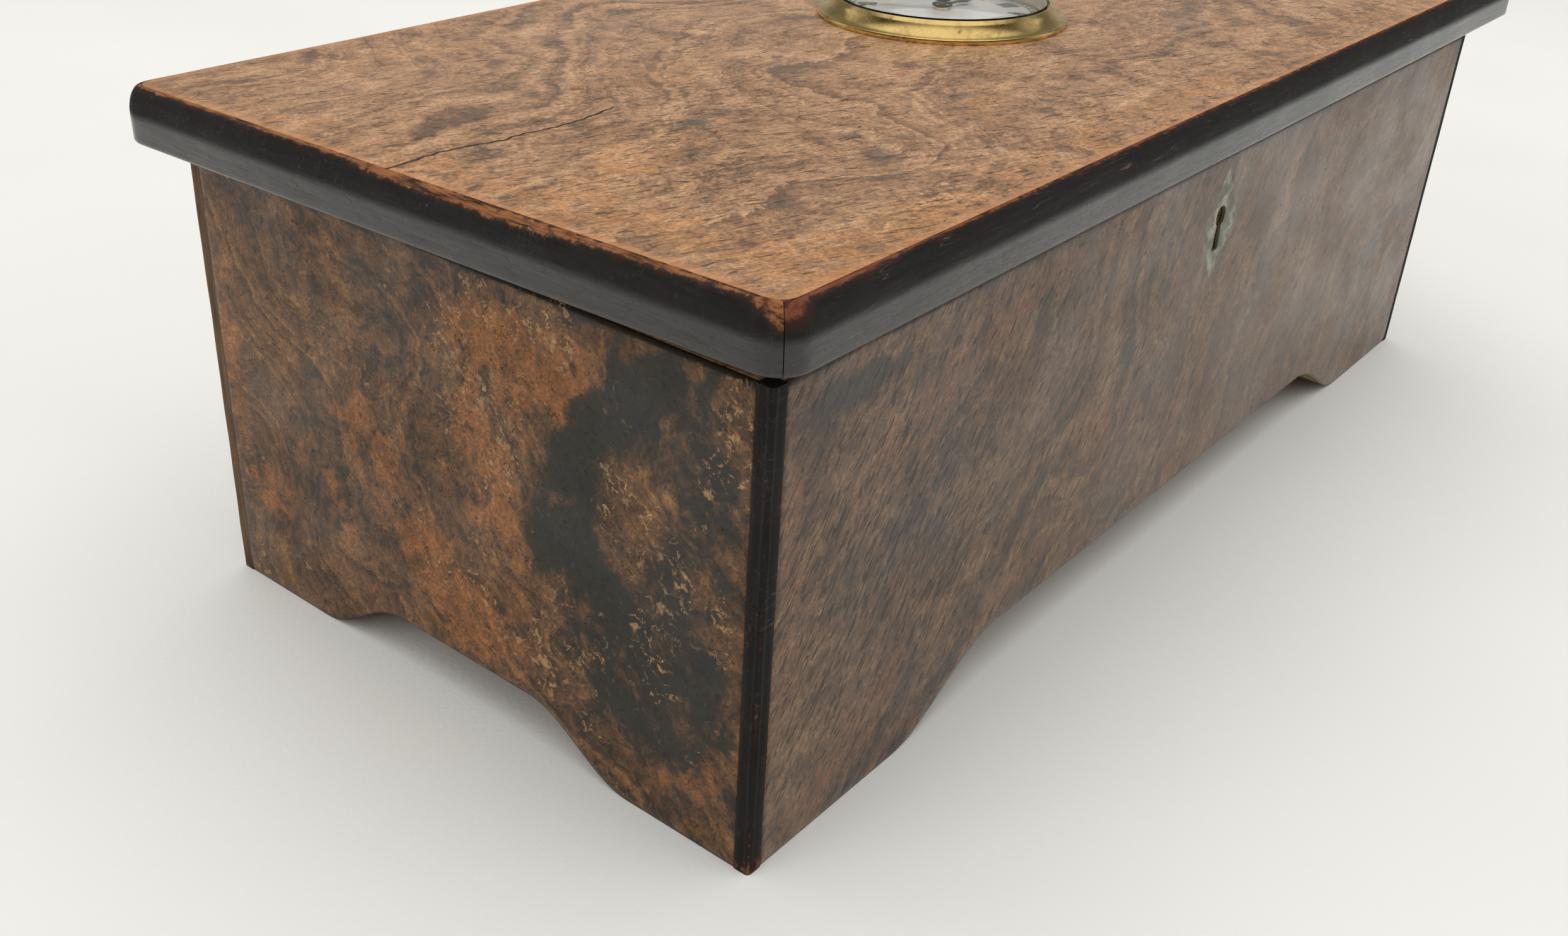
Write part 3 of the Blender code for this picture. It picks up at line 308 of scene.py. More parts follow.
# %% [markdown]
# ## Eyes and flakes
# Between the lines a burr glitters with small pale flakes, each the tip of a bud. Voronoi cells
# scatter the bud tips, and a noisy threshold keeps most of them from looking like neat dots. Fine
# outlines curl round the buds too. They are contour lines of a swirling noise, broken in places.

# %% Bud flakes
bud_flakes, g, given, result = new_group(
    "bud flakes", {"Position": (0.0, 0.0, 0.0), "Amount": 0.5, "Size": 2.4}, ("Flakes", "Curls")
)
ragged = g.vector("SUBTRACT", g.noise(given["Position"], 2.2, 3, 0.65, 0.5, True), (0.5, 0.5, 0.5))
at = g.vector("ADD", given["Position"], g.vector("SCALE", ragged, scale=4.5))
at = g.shrink(at, given["Size"])
tip = g.rise(g.cells(at, 1.0), 0.43, 0.3)
chosen = g.noise(given["Position"], 6.5, 3, 0.7)
keen = g.times(given["Amount"], given["Amount"])
limit = g.minus(0.70, g.times(keen, 0.42))
chosen = g.rise(g.minus(chosen, limit), -0.02, 0.04)
g.plug(result["Flakes"], g.times(tip, chosen))
nested = g.math("FRACT", g.times(g.noise(at, 3.2, 1.2, 0.5, 1.0), 5.0))
outline = g.rise(g.math("ABSOLUTE", g.minus(nested, 0.5)), 0.15, 0.05)
broken = g.rise(g.noise(given["Position"], 1.6, 2), 0.4, 0.58)
curly = g.times_plus(given["Amount"], 0.36, g.noise(given["Position"], 9.0, 3, 0.6))
curly = g.rise(curly, 0.58, 0.7)
g.plug(result["Curls"], g.times(g.times(outline, broken), curly))

# %% [markdown]
# ## Open pores
# Walnut has long thin vessels. Where the slice cuts them they show as short dark dashes that lie
# along the grain and catch the light. Stretching noise along one direction makes the dashes, and
# the places where another stretched noise crosses its middle value make the fine broken hairs.

# %% Pores
open_pores, g, given, result = new_group(
    "open pores", {"Along": (0.0, 0.0, 0.0), "Amount": 0.5}, ("Pores", "Grooves")
)
dashes = g.streaks(given["Along"], (0.28, 1.9, 1.9), 3, 0.62)
limit = g.minus(0.76, g.times(given["Amount"], 0.2))
dots = g.rise(g.minus(dashes, limit), -0.01, 0.03)
hair = g.streaks(given["Along"], (0.13, 1.15, 1.15), 1.5, 0.5)
hair = g.rise(g.math("ABSOLUTE", g.minus(hair, 0.5)), 0.030, 0.012)
broken = g.streaks(given["Along"], (0.3, 0.8, 0.8), 2)
broken = g.rise(g.plus(broken, g.times(given["Amount"], 0.14)), 0.56, 0.62)
g.plug(result["Pores"], g.math("MAXIMUM", dots, g.times(hair, broken)))
broad = g.streaks(given["Along"], (0.11, 0.75, 0.75), 4, 0.7)
g.plug(result["Grooves"], broad)

# %% [markdown]
# ## Ragged patches
# Stains, rubbed places and faded places all have a soft middle and a torn edge. The group takes a
# smooth number between 0 and 1 and frays it with noise before cutting it off.

# %% Patches
ragged_patch, g, given, result = new_group(
    "ragged patch",
    {"Position": (0.0, 0.0, 0.0), "Field": 0.0, "Fray": 0.5, "Grain": 5.0, "Softness": 0.12},
    ("Mask",),
)
at = g.shrink(given["Position"], given["Grain"])
fray = g.times(g.minus(g.noise(at, 1.0, 4, 0.62, 0.4), 0.5), given["Fray"])
edge = g.minus(g.plus(given["Field"], g.times(fray, 2.0)), 0.5)
low = g.times(given["Softness"], -1.0)
g.plug(result["Mask"], g.rise(edge, low, given["Softness"]))

# %% [markdown]
# ## Scratches and haze
# A century of dusting leaves thin scratches in every direction, and old wax dulls in clouds.
# Both change the gloss far more than the colour, so they mostly feed roughness and bump.

# %% Handling marks
handling, g, given, result = new_group(
    "handling marks", {"Position": (0.0, 0.0, 0.0), "Amount": 0.5}, ("Scratches", "Haze", "Pits")
)
hairs = []
for turn, size in ((0.5, 9.0), (-1.1, 13.0), (1.9, 7.0)):
    at = g.stretch(given["Position"], (turn, 0.7 * turn, 1.3 * turn), (0.06, 1.0, 1.0))
    thin = g.math("ABSOLUTE", g.minus(g.noise(at, size / 6, 1), 0.5))
    seen = g.rise(g.noise(given["Position"], size, 2), 0.5, 0.66)
    hairs.append(g.times(g.rise(thin, 0.006, 0.001), seen))
most = g.math("MAXIMUM", g.math("MAXIMUM", hairs[0], hairs[1]), hairs[2])
g.plug(result["Scratches"], g.times(most, given["Amount"]))
g.plug(result["Haze"], g.rise(g.noise(given["Position"], 22, 4, 0.6), 0.32, 0.68))
speck = g.rise(g.cells(given["Position"], 1.7), 0.13, 0.05)
sparse = g.rise(g.noise(given["Position"], 5, 2), 0.55, 0.62)
g.plug(result["Pits"], g.times(speck, g.times(sparse, given["Amount"])))
print("shared groups:", [group.name for group in bpy.data.node_groups])

# %% [markdown]
# ## Figure from listed marks
# The eye knows a piece of burr by its big marks: a dark sweep here, a golden cluster there. Each
# veneer has short lists of soft oval marks. A mark is (across, up, long radius, short radius,
# slope in degrees, strength), in millimetres on that face.


# %% Marks and growth as numbers
def soft_marks(x, y, marks):
    """One minus the product of (1 - strength * exp(-q)), q the squared distance in radii.

    x and y are flat lists of places.
    """
    mx, my, long, short, slope, strength = np.array(marks, float).T[:, :, None]
    dx, dy = x[None] - mx, y[None] - my
    cos, sin = np.cos(np.radians(slope)), np.sin(np.radians(slope))
    q = ((dx * cos + dy * sin) / long) ** 2 + ((dy * cos - dx * sin) / short) ** 2
    return 1 - np.prod(1 - strength * np.exp(-q), axis=0)


def growth_of(x, y, slope, eyes, sway):
    """Distance across the grain, plus a bell-shaped hill at each eye, which rings it.

    An eye is (across, up, radius, height). sway adds slow waves of (length, height, phase).
    """
    cos, sin = np.cos(np.radians(slope)), np.sin(np.radians(slope))
    along, growth = x * cos + y * sin, y * cos - x * sin
    for length, height, phase in sway:
        growth = growth + height * np.sin(2 * np.pi * along / length + phase)
    ex, ey, radius, height = np.array(eyes, float).T[:, :, None]
    away = ((x[None] - ex) ** 2 + (y[None] - ey) ** 2) / radius**2
    return growth + (height * np.exp(-away)).sum(0)


def figure_numbers(x, y, slope, eyes, sway, dark, gold, orange, pores, haze):
    """The two attributes that every veneer stores: its tones, and its growth, pores and haze."""
    tones = np.stack([soft_marks(x, y, m) for m in (dark, gold, orange)], 1)
    layers = growth_of(x, y, slope, eyes, sway)
    return {
        "tones": tones,
        "figure": np.stack([layers, soft_marks(x, y, pores), soft_marks(x, y, haze)], 1)
    }


# %% [markdown]
# ## The veneer finish
# One recipe serves the lid, the front and the sides, because all of them are burr walnut under
# wax. They differ in how dark, how golden and how faded they are, and in a pale veil that is part
# wax bloom and part painted sheen, so those are its arguments.


# %% Burr walnut
def burr_walnut(name, deep, brown, light, stain, flame, gilt, veil, grain_turn, **look):
    """Layers run from deep to light, then stains, flame-coloured patches and gilt flakes go on."""
    material, g, shader = new_finish(name)
    shader["IOR"].default_value = 1.3
    shader["Coat Roughness"].default_value = look["wax_roughness"]
    shader["Coat IOR"].default_value = 1.5
    at = g.position()
    dark, gold, orange = g.numbers("tones")
    growth, pore_field, haze_and_sheen_field = g.numbers("figure")
    lines = g.use(
        growth_lines, Position=at, Growth=growth, Waver=look["waver"], Width=look["width"]
    )
    flakes = g.use(bud_flakes, Position=at, Amount=gold, Size=look["flake"])
    patch = g.use(ragged_patch, Position=at, Field=orange, Fray=1.1, Grain=5.0, Softness=0.26)[0]
    shade = g.use(ragged_patch, Position=at, Field=dark, Fray=0.8, Grain=8.0, Softness=0.2)[0]
    along = g.stretch(at, grain_turn)
    pores = g.use(open_pores, Along=g.vector("SCALE", along, scale=look["pore"]), Amount=pore_field)
    marks = g.use(handling, Position=at, Amount=look["marks"])
    fibre_part, band_part, mottle_part, cloud_part = look["blend"]
    mottle = g.rise(g.noise(at, look["mottle"], 6, 0.72, 1.3), 0.38, 0.62)
    tone = g.times_plus(lines["Fibres"], fibre_part, g.times(lines["Bands"], band_part))
    tone = g.times_plus(mottle, mottle_part, tone)
    cloud = g.noise(at, look["cloud"], 4, 0.6, 0.7)
    tone = g.plus(tone, g.times(g.minus(cloud, 0.5), cloud_part), clamp=True)
    colour = g.ramp(tone, (0.12, deep), (0.5, brown), (0.9, light))
    lively = g.times_plus(mottle, 0.5, g.times(lines["Fibres"], 0.5))
    warm = g.mix(lively, dim(flame, 0.45), flame)
    colour = g.mix(g.times(patch, look["flame_strength"]), colour, warm)
    # Painted shade rides on the dark tone too: on the wall veneers it darkens the rim under the lid
    # and the apron's lower edge with this stain colour.
    smooth = g.mix(g.times(mottle, 0.5), stain, dim(stain, 1.8))
    colour = g.mix(g.times(shade, look["stain_strength"]), colour, smooth)
    colour = g.mix(g.times(flakes["Flakes"], look["gilt_strength"]), colour, gilt)
    colour = g.mix(g.times(flakes["Curls"], look["curl_strength"]), colour, look["curl"])
    fine = g.noise(at, 0.75, 3, 0.7)
    colour = g.darken(0.6, colour, fine, (0.36, 0.35), (0.62, 1.15))
    thread = g.streaks(along, (0.35, 2.6, 2.6), 3, 0.7, 0.5)
    colour = g.darken(look["thread"], colour, thread, (0.38, 0.4), (0.6, 1.25))
    colour = g.mix(g.times(pores["Pores"], 0.8), colour, dim(deep, 0.22))
    # Painted sheen: the pale veil is part wax bloom, from the handling haze, and part painted
    # sheen, from the haze marks laid mostly on the far parts of each face.
    bloom_and_sheen = g.times(g.times_plus(marks["Haze"], 0.5, haze_and_sheen_field), look["veil_strength"])
    colour = g.mix(bloom_and_sheen, colour, veil)
    g.plug(shader["Base Color"], colour)
    dull = g.times_plus(marks["Haze"], 0.12, 0.5)
    dull = g.times_plus(haze_and_sheen_field, 0.12, dull)
    dull = g.times_plus(pores["Pores"], 0.25, dull)
    g.plug(shader["Roughness"], g.times_plus(marks["Scratches"], 0.2, dull))
    g.plug(shader["Coat Weight"], g.times_plus(marks["Haze"], -0.5 * look["wax"], look["wax"]))
    relief = g.times_plus(pores["Grooves"], look["groove"], g.times(lines["Fibres"], 0.22))
    relief = g.minus(relief, g.times(pores["Pores"], 0.6))
    relief = g.minus(relief, g.times(marks["Scratches"], 0.25))
    sway = g.bump(g.noise(at, 26, 2), 0.35, 0.5)
    g.plug(shader["Normal"], g.bump(relief, look["relief"], 1.0, sway))
    return material


# %% [markdown]
# ## Veneer on the four walls
# Each wall's veneer is a sheet 0.8 mm thick whose lower edge follows the apron: flat feet, then a
# curve up to a long arch. Across and up are the two parameters. The curve is half a cosine wave,
# which leaves the foot and joins the arch with no corner. A Solidify modifier gives the thickness.

# %% Veneer sheets
LOZENGE = (9.0, 13.2, RIM - 16.0)  # half width, half height and middle of the key plate


def apron_line(s, half, foot, run, rise):
    """Height of the lower edge: 0 on the feet, rise under the arch, half a cosine wave between."""
    t = np.clip((half - foot - np.abs(s)) / run, 0, 1)
    return rise * (1 - np.cos(np.pi * t)) / 2


def wall_veneer(name, way, finish, marks):
    """Points (s, z): s runs across the wall, z from the apron line to the rim."""
    long = way in ("front", "back")
    half = (HALF_LONG if long else HALF_DEEP) - STRIP - 0.12
    apron = (HALF_LONG, 43, 36, 13.6) if long else (HALF_DEEP, 29, 26, 11.2)
    s = np.linspace(-half, half, 300 if long else 150)[:, None]
    t = np.linspace(0, 1, 92)[None, :]
    low = apron_line(s, *apron)
    z = low + t * (RIM - low)
    s = s + 0 * z
    face = {"front": -HALF_DEEP, "back": HALF_DEEP, "left": -HALF_LONG, "right": HALF_LONG}[way]
    out = np.sign(face)
    eased = 0.22 * np.exp(-np.minimum(z - low, RIM - z) / 0.5)
    off = face - out * eased
    points = np.stack((s, off, z) if long else (off, s, z), -1).reshape(-1, 3)
    faces = grid_faces(*z.shape)
    if way == "front":
        centre = points[faces].mean(1)
        inside = np.abs(centre[:, 0]) / LOZENGE[0] + np.abs(centre[:, 2] - LOZENGE[2]) / LOZENGE[1]
        faces = faces[inside > 0.82]
    a, b, c = (points[faces[:, k]] for k in range(3))
    normal = np.cross(b - a, c - b)[:, 1 if long else 0].mean()
    if normal * out < 0:
        faces = faces[:, ::-1]
    numbers = figure_numbers(s.ravel(), z.ravel(), **marks)
    # Painted shade: darker within about a millimetre of the rim, where the lid's gap shades it, and
    # along the apron's lower edge, put into the dark tone.
    grime_and_shade = np.exp(-(RIM - z.ravel()) / 1.1) + 0.5 * np.exp(-(z - low).ravel() / 0.6)
    numbers["tones"][:, 0] = np.maximum(numbers["tones"][:, 0], np.minimum(1.3 * grime_and_shade, 1))
    used, index = np.unique(faces, return_inverse=True)
    numbers = {label: values[used] for label, values in numbers.items()}
    solid = name.replace("_sheet", "")
    piece = make_piece(
        name, points[used], index.reshape(-1, 4), "box", finish, (solid,), numbers, 50, True
    )
    thick = piece.modifiers.new("thickness", "SOLIDIFY")
    thick.thickness, thick.offset = VENEER / 1000, -1


side_finish = burr_walnut(
    "side burr walnut",
    deep=(0.026, 0.013, 0.006), brown=(0.130, 0.058, 0.020), light=(0.290, 0.140, 0.046),
    stain=(0.008, 0.009, 0.006), flame=(0.430, 0.150, 0.034), gilt=(0.37, 0.24, 0.10),
    veil=(0.18, 0.15, 0.11), grain_turn=(0.9, 0, 0), curl=(0.46, 0.25, 0.10),
    waver=1.0, width=3.6, mottle=5.0, flake=1.9, flame_strength=0.66, stain_strength=0.95,
    gilt_strength=0.5,
    blend=(0.26, 0.34, 0.26, 1.35), cloud=15, pore=0.8, thread=0.4, curl_strength=0.8,
    veil_strength=0.09, wax=0.45, wax_roughness=0.2,
    groove=0.5, relief=0.06, marks=0.5,
)
front_finish = burr_walnut(
    "front figured walnut",
    deep=(0.036, 0.021, 0.013), brown=(0.142, 0.072, 0.033), light=(0.252, 0.142, 0.066),
    stain=(0.022, 0.018, 0.014), flame=(0.300, 0.120, 0.050), gilt=(0.38, 0.24, 0.12),
    veil=(0.30, 0.25, 0.21), grain_turn=(0, 0.97, 0), curl=(0.07, 0.036, 0.022),
    waver=1.1, width=5.5, mottle=9.0, flake=2.6, flame_strength=0.62, stain_strength=0.85,
    gilt_strength=0.4,
    blend=(0.3, 0.42, 0.26, 1.2), cloud=20, pore=0.72, thread=0.8, curl_strength=0.3,
    veil_strength=0.22, wax=0.75, wax_roughness=0.22,
    groove=1.3, relief=0.3, marks=0.4,
)

# %% [markdown]
# ## The left side
# This is the liveliest face. Dark stains cross it from the top near corner down to the middle,
# gilt flakes gather round the eyes in the upper middle, and the far end is calm and streaky.

# %% Left side figure
left_marks = {
    "slope": 52.0,
    "eyes": [
        (-5.7, 86.5, 4.5, 9), (-26, 81, 6, -9), (-30.2, 88, 4, 6), (0.6, 82, 5, -6),
        (-42, 65, 6, 8),
        (-56, 69, 8, 12), (-53, 56, 6, -8), (-26, 26, 6, 9), (5, 30, 8, 10), (-10, 60, 9, -12),
        (22, 57, 10, 9), (45, 74, 12, 12), (58.9, 31.5, 13, -16), (36, 20, 9, 9), (-40, 25, 8, -9),
        (-60, 36, 7, 8), (-14, 40, 7, 8), (14, 75, 7, -8),
    ],
    "sway": [(110, 8, 0.4), (47, 3, 2.0)],
    "dark": [
        (-50.7, 87, 13, 8, -12, 0.9), (-40, 78, 15, 6, -40, 0.85), (-31.5, 65, 13, 8, -75, 0.9),
        (-25.3, 49, 9, 7, -60, 0.95), (-36.8, 44, 9, 7, 20, 0.8), (-48, 34, 14, 9, 60, 0.5),
        (41, 44, 20, 9, 75, 0.45), (30, 84, 16, 5, 8, 0.4), (-60, 40, 15, 44, 0, 0.60),
        (-40, 26, 20, 24, 0, 0.55),
        (10, 88, 12, 5, -20, 0.4), (12, 62, 12, 3.5, 62, 0.5), (-60, 76, 10, 6, 0, 0.5),
        (20, 24, 18, 5, 40, 0.4),
    ],
    "gold": [
        (-15.5, 88.8, 10, 5, -10, 0.75), (-3, 74, 13, 7, 70, 0.65), (-30, 87, 9, 6, -30, 0.7),
        (-12, 64, 16, 8, 80, 0.65), (-42.4, 65, 8, 9, 0, 0.6), (-26, 26, 11, 9, 0, 0.6),
        (28, 60, 26, 6, 60, 0.35),
        (-56, 60, 13, 14, 0, 0.42), (-50, 28, 16, 16, 0, 0.40), (0, 26, 14, 9, 20, 0.42),
        (-66, 86, 4, 8, 10, 0.85),
    ],
    "orange": [
        (-26.4, 80, 12, 9, -20, 0.85), (-8, 60, 18, 9, 78, 0.7), (5, 30, 15, 9, 25, 0.75),
        (-3, 19, 14, 8, 0, 0.75),
        (67, 56, 16, 4, 88, 0.8), (-59, 20, 13, 9, 60, 0.7), (24, 52, 20, 8, 60, 0.6),
        (58, 24, 12, 9, 0, 0.6),
        (-10, 84, 12, 7, 0, 0.7), (-18, 45, 12, 7, 70, 0.55), (35, 30, 20, 6, 60, 0.5),
        (-45, 14, 12, 5, 40, 0.5),
    ],
    "pores": [(20, 50, 50, 40, 0, 0.3)],
    "haze": [(48, 60, 34, 45, 0, 0.4)],
}
wall_veneer("veneer_left_sheet", "left", side_finish, left_marks)

# %% [markdown]
# ## The front
# The front has a stronger pale veil, part wax bloom and part painted sheen. Short open pores slant
# across its left third at about fifty-five degrees, and a streaky dark band runs along the top left
# corner.

# %% Front figure
front_marks = {
    "slope": 55.0,
    "eyes": [
        (-110, 77, 9, 8), (-127, 69, 7, -8), (-91, 61, 10, 10), (-67, 44, 12, -9), (-44, 42, 10, 9),
        (-36, 60, 8, 6), (-130, 40, 10, 10), (-100, 30, 12, -11), (-10, 50, 14, 9),
        (24, 66, 12, -9),
        (59, 60, 16, 12), (95, 45, 15, -12), (128, 70, 14, 11), (120, 24, 10, 9), (70, 30, 14, -9),
    ],
    "sway": [(150, 12, 1.0), (60, 4, 0.0)],
    "dark": [
        (-134, 88, 15, 3.5, 3, 0.9), (-146, 81, 8, 6, 20, 0.6), (-91, 61, 13, 5, 55, 0.6),
        (-76, 78, 12, 6, 60, 0.55),
        (-119, 58, 12, 4, 55, 0.55), (-24, 69, 8, 3, 60, 0.6), (58.8, 83, 20, 6, 10, 0.45),
        (-67, 44, 18, 3, 55, 0.45), (-36.5, 59.7, 5, 6, 0, 0.75), (-138, 30, 15, 7, 55, 0.35),
        (60, 40, 40, 12, 40, 0.25),
        (-100, 90, 30, 4, 3, 0.35),
    ],
    "gold": [
        (-100, 45, 30, 6, 60, 0.45), (-60, 70, 30, 6, 60, 0.4), (-120, 25, 22, 10, 50, 0.4),
        (40, 50, 80, 30, 0, 0.25)
    ],
    "orange": [
        (-110, 77.6, 16, 8, 20, 0.75), (-127, 69, 10, 7, 50, 0.7), (-150, 60, 4, 34, 0, 0.75),
        (-120, 20, 18, 9, 40, 0.65),
        (-80, 20, 18, 5, 12, 0.75), (-43.7, 42, 14, 9, 30, 0.6), (-95, 84, 18, 6, 5, 0.55),
        (-70, 88, 24, 5, 0, 0.5),
        (-140, 8, 14, 6, 20, 0.5), (0, 30, 26, 10, 20, 0.4), (40, 86, 34, 6, 0, 0.4),
        (90, 60, 20, 12, 50, 0.3), (145, 20, 9, 16, 0, 0.6),
    ],
    "pores": [(-120, 50, 62, 60, 0, 0.95), (-40, 60, 50, 50, 0, 0.55), (60, 50, 90, 60, 0, 0.28)],
    "haze": [(-20, 50, 70, 50, 0, 0.45), (80, 50, 80, 60, 0, 0.75)],
}
wall_veneer("veneer_front_sheet", "front", front_finish, front_marks)

# %% [markdown]
# ## The back and the right side
# Nobody looks at these as often, so they are plainer leaves from the same trees: the back like
# the front, the right side like the left, each with its own eyes and stains.

# %% Back and right figure
back_marks = {
    "slope": -50.0, "sway": [(170, 14, 2.2), (70, 4, 1.0)],
    "eyes": [
        (-100, 60, 14, 11), (-40, 40, 12, -9), (20, 70, 13, 10), (70, 35, 14, -11), (120, 65, 12, 9)
    ],
    "dark": [(-60, 80, 40, 6, 5, 0.5), (100, 40, 24, 8, 60, 0.45), (0, 55, 20, 6, -50, 0.4)],
    "gold": [(-90, 40, 40, 20, 0, 0.4), (60, 60, 60, 24, 0, 0.4)],
    "orange": [(-120, 50, 24, 14, 30, 0.6), (40, 40, 30, 12, -30, 0.6), (130, 80, 20, 10, 0, 0.5)],
    "pores": [(0, 50, 160, 80, 0, 0.6)], "haze": [(0, 50, 120, 60, 0, 0.5)],
}
right_marks = {
    "slope": -48.0, "sway": [(120, 9, 1.4), (50, 3, 0.0)],
    "eyes": [
        (-40, 70, 9, 10), (-10, 50, 10, -10), (30, 72, 8, 9), (45, 35, 10, -9), (-50, 28, 9, 9),
        (5, 26, 8, 8)
    ],
    "dark": [(-30, 82, 24, 7, 10, 0.7), (20, 50, 22, 7, -50, 0.65), (55, 70, 10, 14, 0, 0.5)],
    "gold": [(-20, 66, 22, 12, 40, 0.6), (30, 30, 18, 12, 0, 0.55), (-50, 40, 12, 16, 0, 0.5)],
    "orange": [(-45, 60, 16, 12, 0, 0.75), (10, 76, 20, 9, 0, 0.7), (40, 18, 20, 9, 20, 0.7)],
    "pores": [(0, 50, 80, 60, 0, 0.35)], "haze": [(0, 50, 60, 60, 0, 0.3)],
}
wall_veneer("veneer_back_sheet", "back", front_finish, back_marks)
wall_veneer("veneer_right_sheet", "right", side_finish, right_marks)

# %% [markdown]
# ## The lid's veneer
# This leaf has a round hole for the clock, so its grid runs round the hole: one parameter goes
# round, and the other from the hole's edge out to the moulding. The outer line is a rectangle
# with small round corners, sampled at even steps so that no face is too long.


# %% A rounded rectangle and a flat ring
def rounded_outline(half_x, half_y, radius, count):
    """count points at even steps round a rectangle whose corners are quarter circles."""
    a = np.linspace(0, np.pi / 2, 12)
    corners = [
        (
            cx * (half_x - radius) + radius * np.cos(a + turn),
            cy * (half_y - radius) + radius * np.sin(a + turn)
        )
        for cx, cy, turn in ((1, 1, 0), (-1, 1, np.pi / 2), (-1, -1, np.pi), (1, -1, 1.5 * np.pi))
    ]
    x, y = (np.concatenate([c[k] for c in corners]) for k in (0, 1))
    x, y = np.append(x, x[0]), np.append(y, y[0])
    run = np.append(0, np.cumsum(np.hypot(np.diff(x), np.diff(y))))
    at = np.linspace(0, run[-1], count, endpoint=False)
    return np.interp(at, run, x), np.interp(at, run, y)


def flat_ring(outline, centre, radius, top, low, rows):
    """A ring between a circle and an outline: over the top, down the edge and back underneath."""
    ox, oy = outline
    way = np.arctan2(oy - centre[1], ox - centre[0])
    ix, iy = centre[0] + radius * np.cos(way), centre[1] + radius * np.sin(way)
    t = np.concatenate([np.linspace(0, 1, rows), np.linspace(1, 0, 8)])[:, None]
    z = np.concatenate([np.full(rows, top), np.full(8, low)])[:, None]
    x, y = ix + t * (ox - ix), iy + t * (oy - iy)
    points = np.stack([x, y, z + 0 * x], -1)
    return points.reshape(-1, 3), grid_faces(*x.shape, True, True)


lid_finish = burr_walnut(
    "lid burr walnut",
    deep=(0.125, 0.070, 0.042), brown=(0.385, 0.205, 0.100), light=(0.580, 0.340, 0.180),
    stain=(0.085, 0.062, 0.046), flame=(0.620, 0.290, 0.105), gilt=(0.64, 0.43, 0.22),
    veil=(0.42, 0.31, 0.235), grain_turn=(0, 0, 0.35), curl=(0.11, 0.052, 0.026),
    waver=1.2, width=4.6, mottle=8.0, flake=1.9, flame_strength=0.65, stain_strength=0.8,
    gilt_strength=0.6,
    blend=(0.28, 0.44, 0.22, 1.3), cloud=16, pore=0.75, thread=0.5, curl_strength=0.6,
    veil_strength=0.22, wax=0.5, wax_roughness=0.25,
    groove=0.9, relief=0.09, marks=0.6,
)
lid_marks = {
    "slope": 18.0, "sway": [(140, 14, 0.5), (52, 4, 1.5)],
    "eyes": [
        (-94.5, -45, 14, 22), (-103, -12, 10, -12), (-140, -32, 10, 12), (-66, -2, 12, -12),
        (-110, -68, 9, 10),
        (-60, -60, 12, 12), (-130, 30, 12, -12), (-95, 40, 14, 14), (-45, -40, 10, -10),
        (-20, -62, 12, 10),
        (20, -50, 14, -14), (60, -62, 12, 12), (70, -10, 16, 16), (110, -40, 14, -14),
        (140, 10, 16, 14),
        (60, 50, 16, -14), (110, 50, 14, 12), (-30, 55, 14, 12), (-145, -5, 8, 9), (-75, -30, 8, 9),
    ],
    "dark": [
        (-99, -50, 9, 5, 30, 0.65), (-92, -40, 14, 3, -50, 0.6), (-103, -12, 12, 6, 0, 0.55),
        (-140, -32, 9, 6, 20, 0.5),
        (-66, -2, 14, 7, 30, 0.6), (-40, -52, 16, 6, 20, 0.5), (40, -40, 26, 9, 20, 0.5),
        (-120, 20, 18, 5, 10, 0.4),
        (-157, 56, 6, 8, 0, 0.5), (-70, 50, 20, 8, 0, 0.4), (100, 10, 24, 10, -20, 0.45),
        (-60, -35, 10, 4, -50, 0.5),
        (0, -34, 40, 4, 0, 0.35), (30, -72, 50, 3, 0, 0.35),
    ],
    "gold": [
        (-110, -68, 16, 8, 10, 0.8), (-135, -50, 16, 8, 20, 0.6), (-125, 0, 20, 9, 0, 0.5),
        (-80, -60, 24, 9, 10, 0.6), (-60, 25, 26, 12, 0, 0.45), (60, -60, 40, 12, 0, 0.5),
        (110, 30, 30, 20, 0, 0.45), (-140, 60, 20, 12, 0, 0.5),
    ],
    "orange": [
        (-150, -50, 8, 30, 0, 0.7), (-120, -72, 40, 6, 0, 0.7), (-130, -20, 22, 12, 10, 0.55),
        (-90, 15, 26, 12, 0, 0.5), (-30, -70, 60, 7, 0, 0.6), (80, -70, 70, 7, 0, 0.6),
        (-60, -45, 18, 8, 20, 0.5), (50, -20, 26, 12, 20, 0.45), (-156, 0, 5, 70, 0, 0.6),
        (120, -10, 26, 16, 0, 0.5), (-110, 60, 40, 10, 0, 0.45), (20, 60, 60, 10, 0, 0.4),
    ],
    "pores": [(-110, -20, 70, 70, 0, 0.6), (0, -50, 90, 40, 0, 0.5), (90, 0, 90, 90, 0, 0.45)],
    "haze": [(-60, 50, 120, 36, 0, 0.5), (80, 20, 90, 60, 0, 0.6)],
}
points, faces = flat_ring(
    rounded_outline(*LID_INNER, 620), CLOCK[:2], 26.0, LID_TOP, LID_TOP - 0.7, 84
)
lid_numbers = figure_numbers(points[:, 0], points[:, 1], **lid_marks)

# %% [markdown]
# ## A hairline crack
# The lid board shrank and split, and the veneer split with it. The crack wanders from the left
# edge towards the clock. Its line is stored as a distance, so the material can draw it dark and
# let the bump sink it. Near the moulding the veneer is rubbed through to bright wood.

# %% Crack and rubbed edge
crack_x = np.array([-163.0, -150.9, -145.0, -139.0, -133.0, -128.5, -121.0, -113.8, -110.5])
crack_y = np.array([4.6, 5.6, 4.7, 3.1, 3.4, 2.4, 2.2, 3.2, 3.9])
wander = np.interp(points[:, 0], crack_x, crack_y) + 0.22 * np.sin(points[:, 0] * 1.7)
near_crack = np.exp(-(((points[:, 1] - wander) / 4.5) ** 2)) * (points[:, 0] < -111)
to_edge = np.minimum(LID_INNER[0] - np.abs(points[:, 0]), LID_INNER[1] - np.abs(points[:, 1]))
lid_numbers["edges"] = np.stack([points[:, 1] - wander, np.exp(-to_edge / 2.2), near_crack], 1)

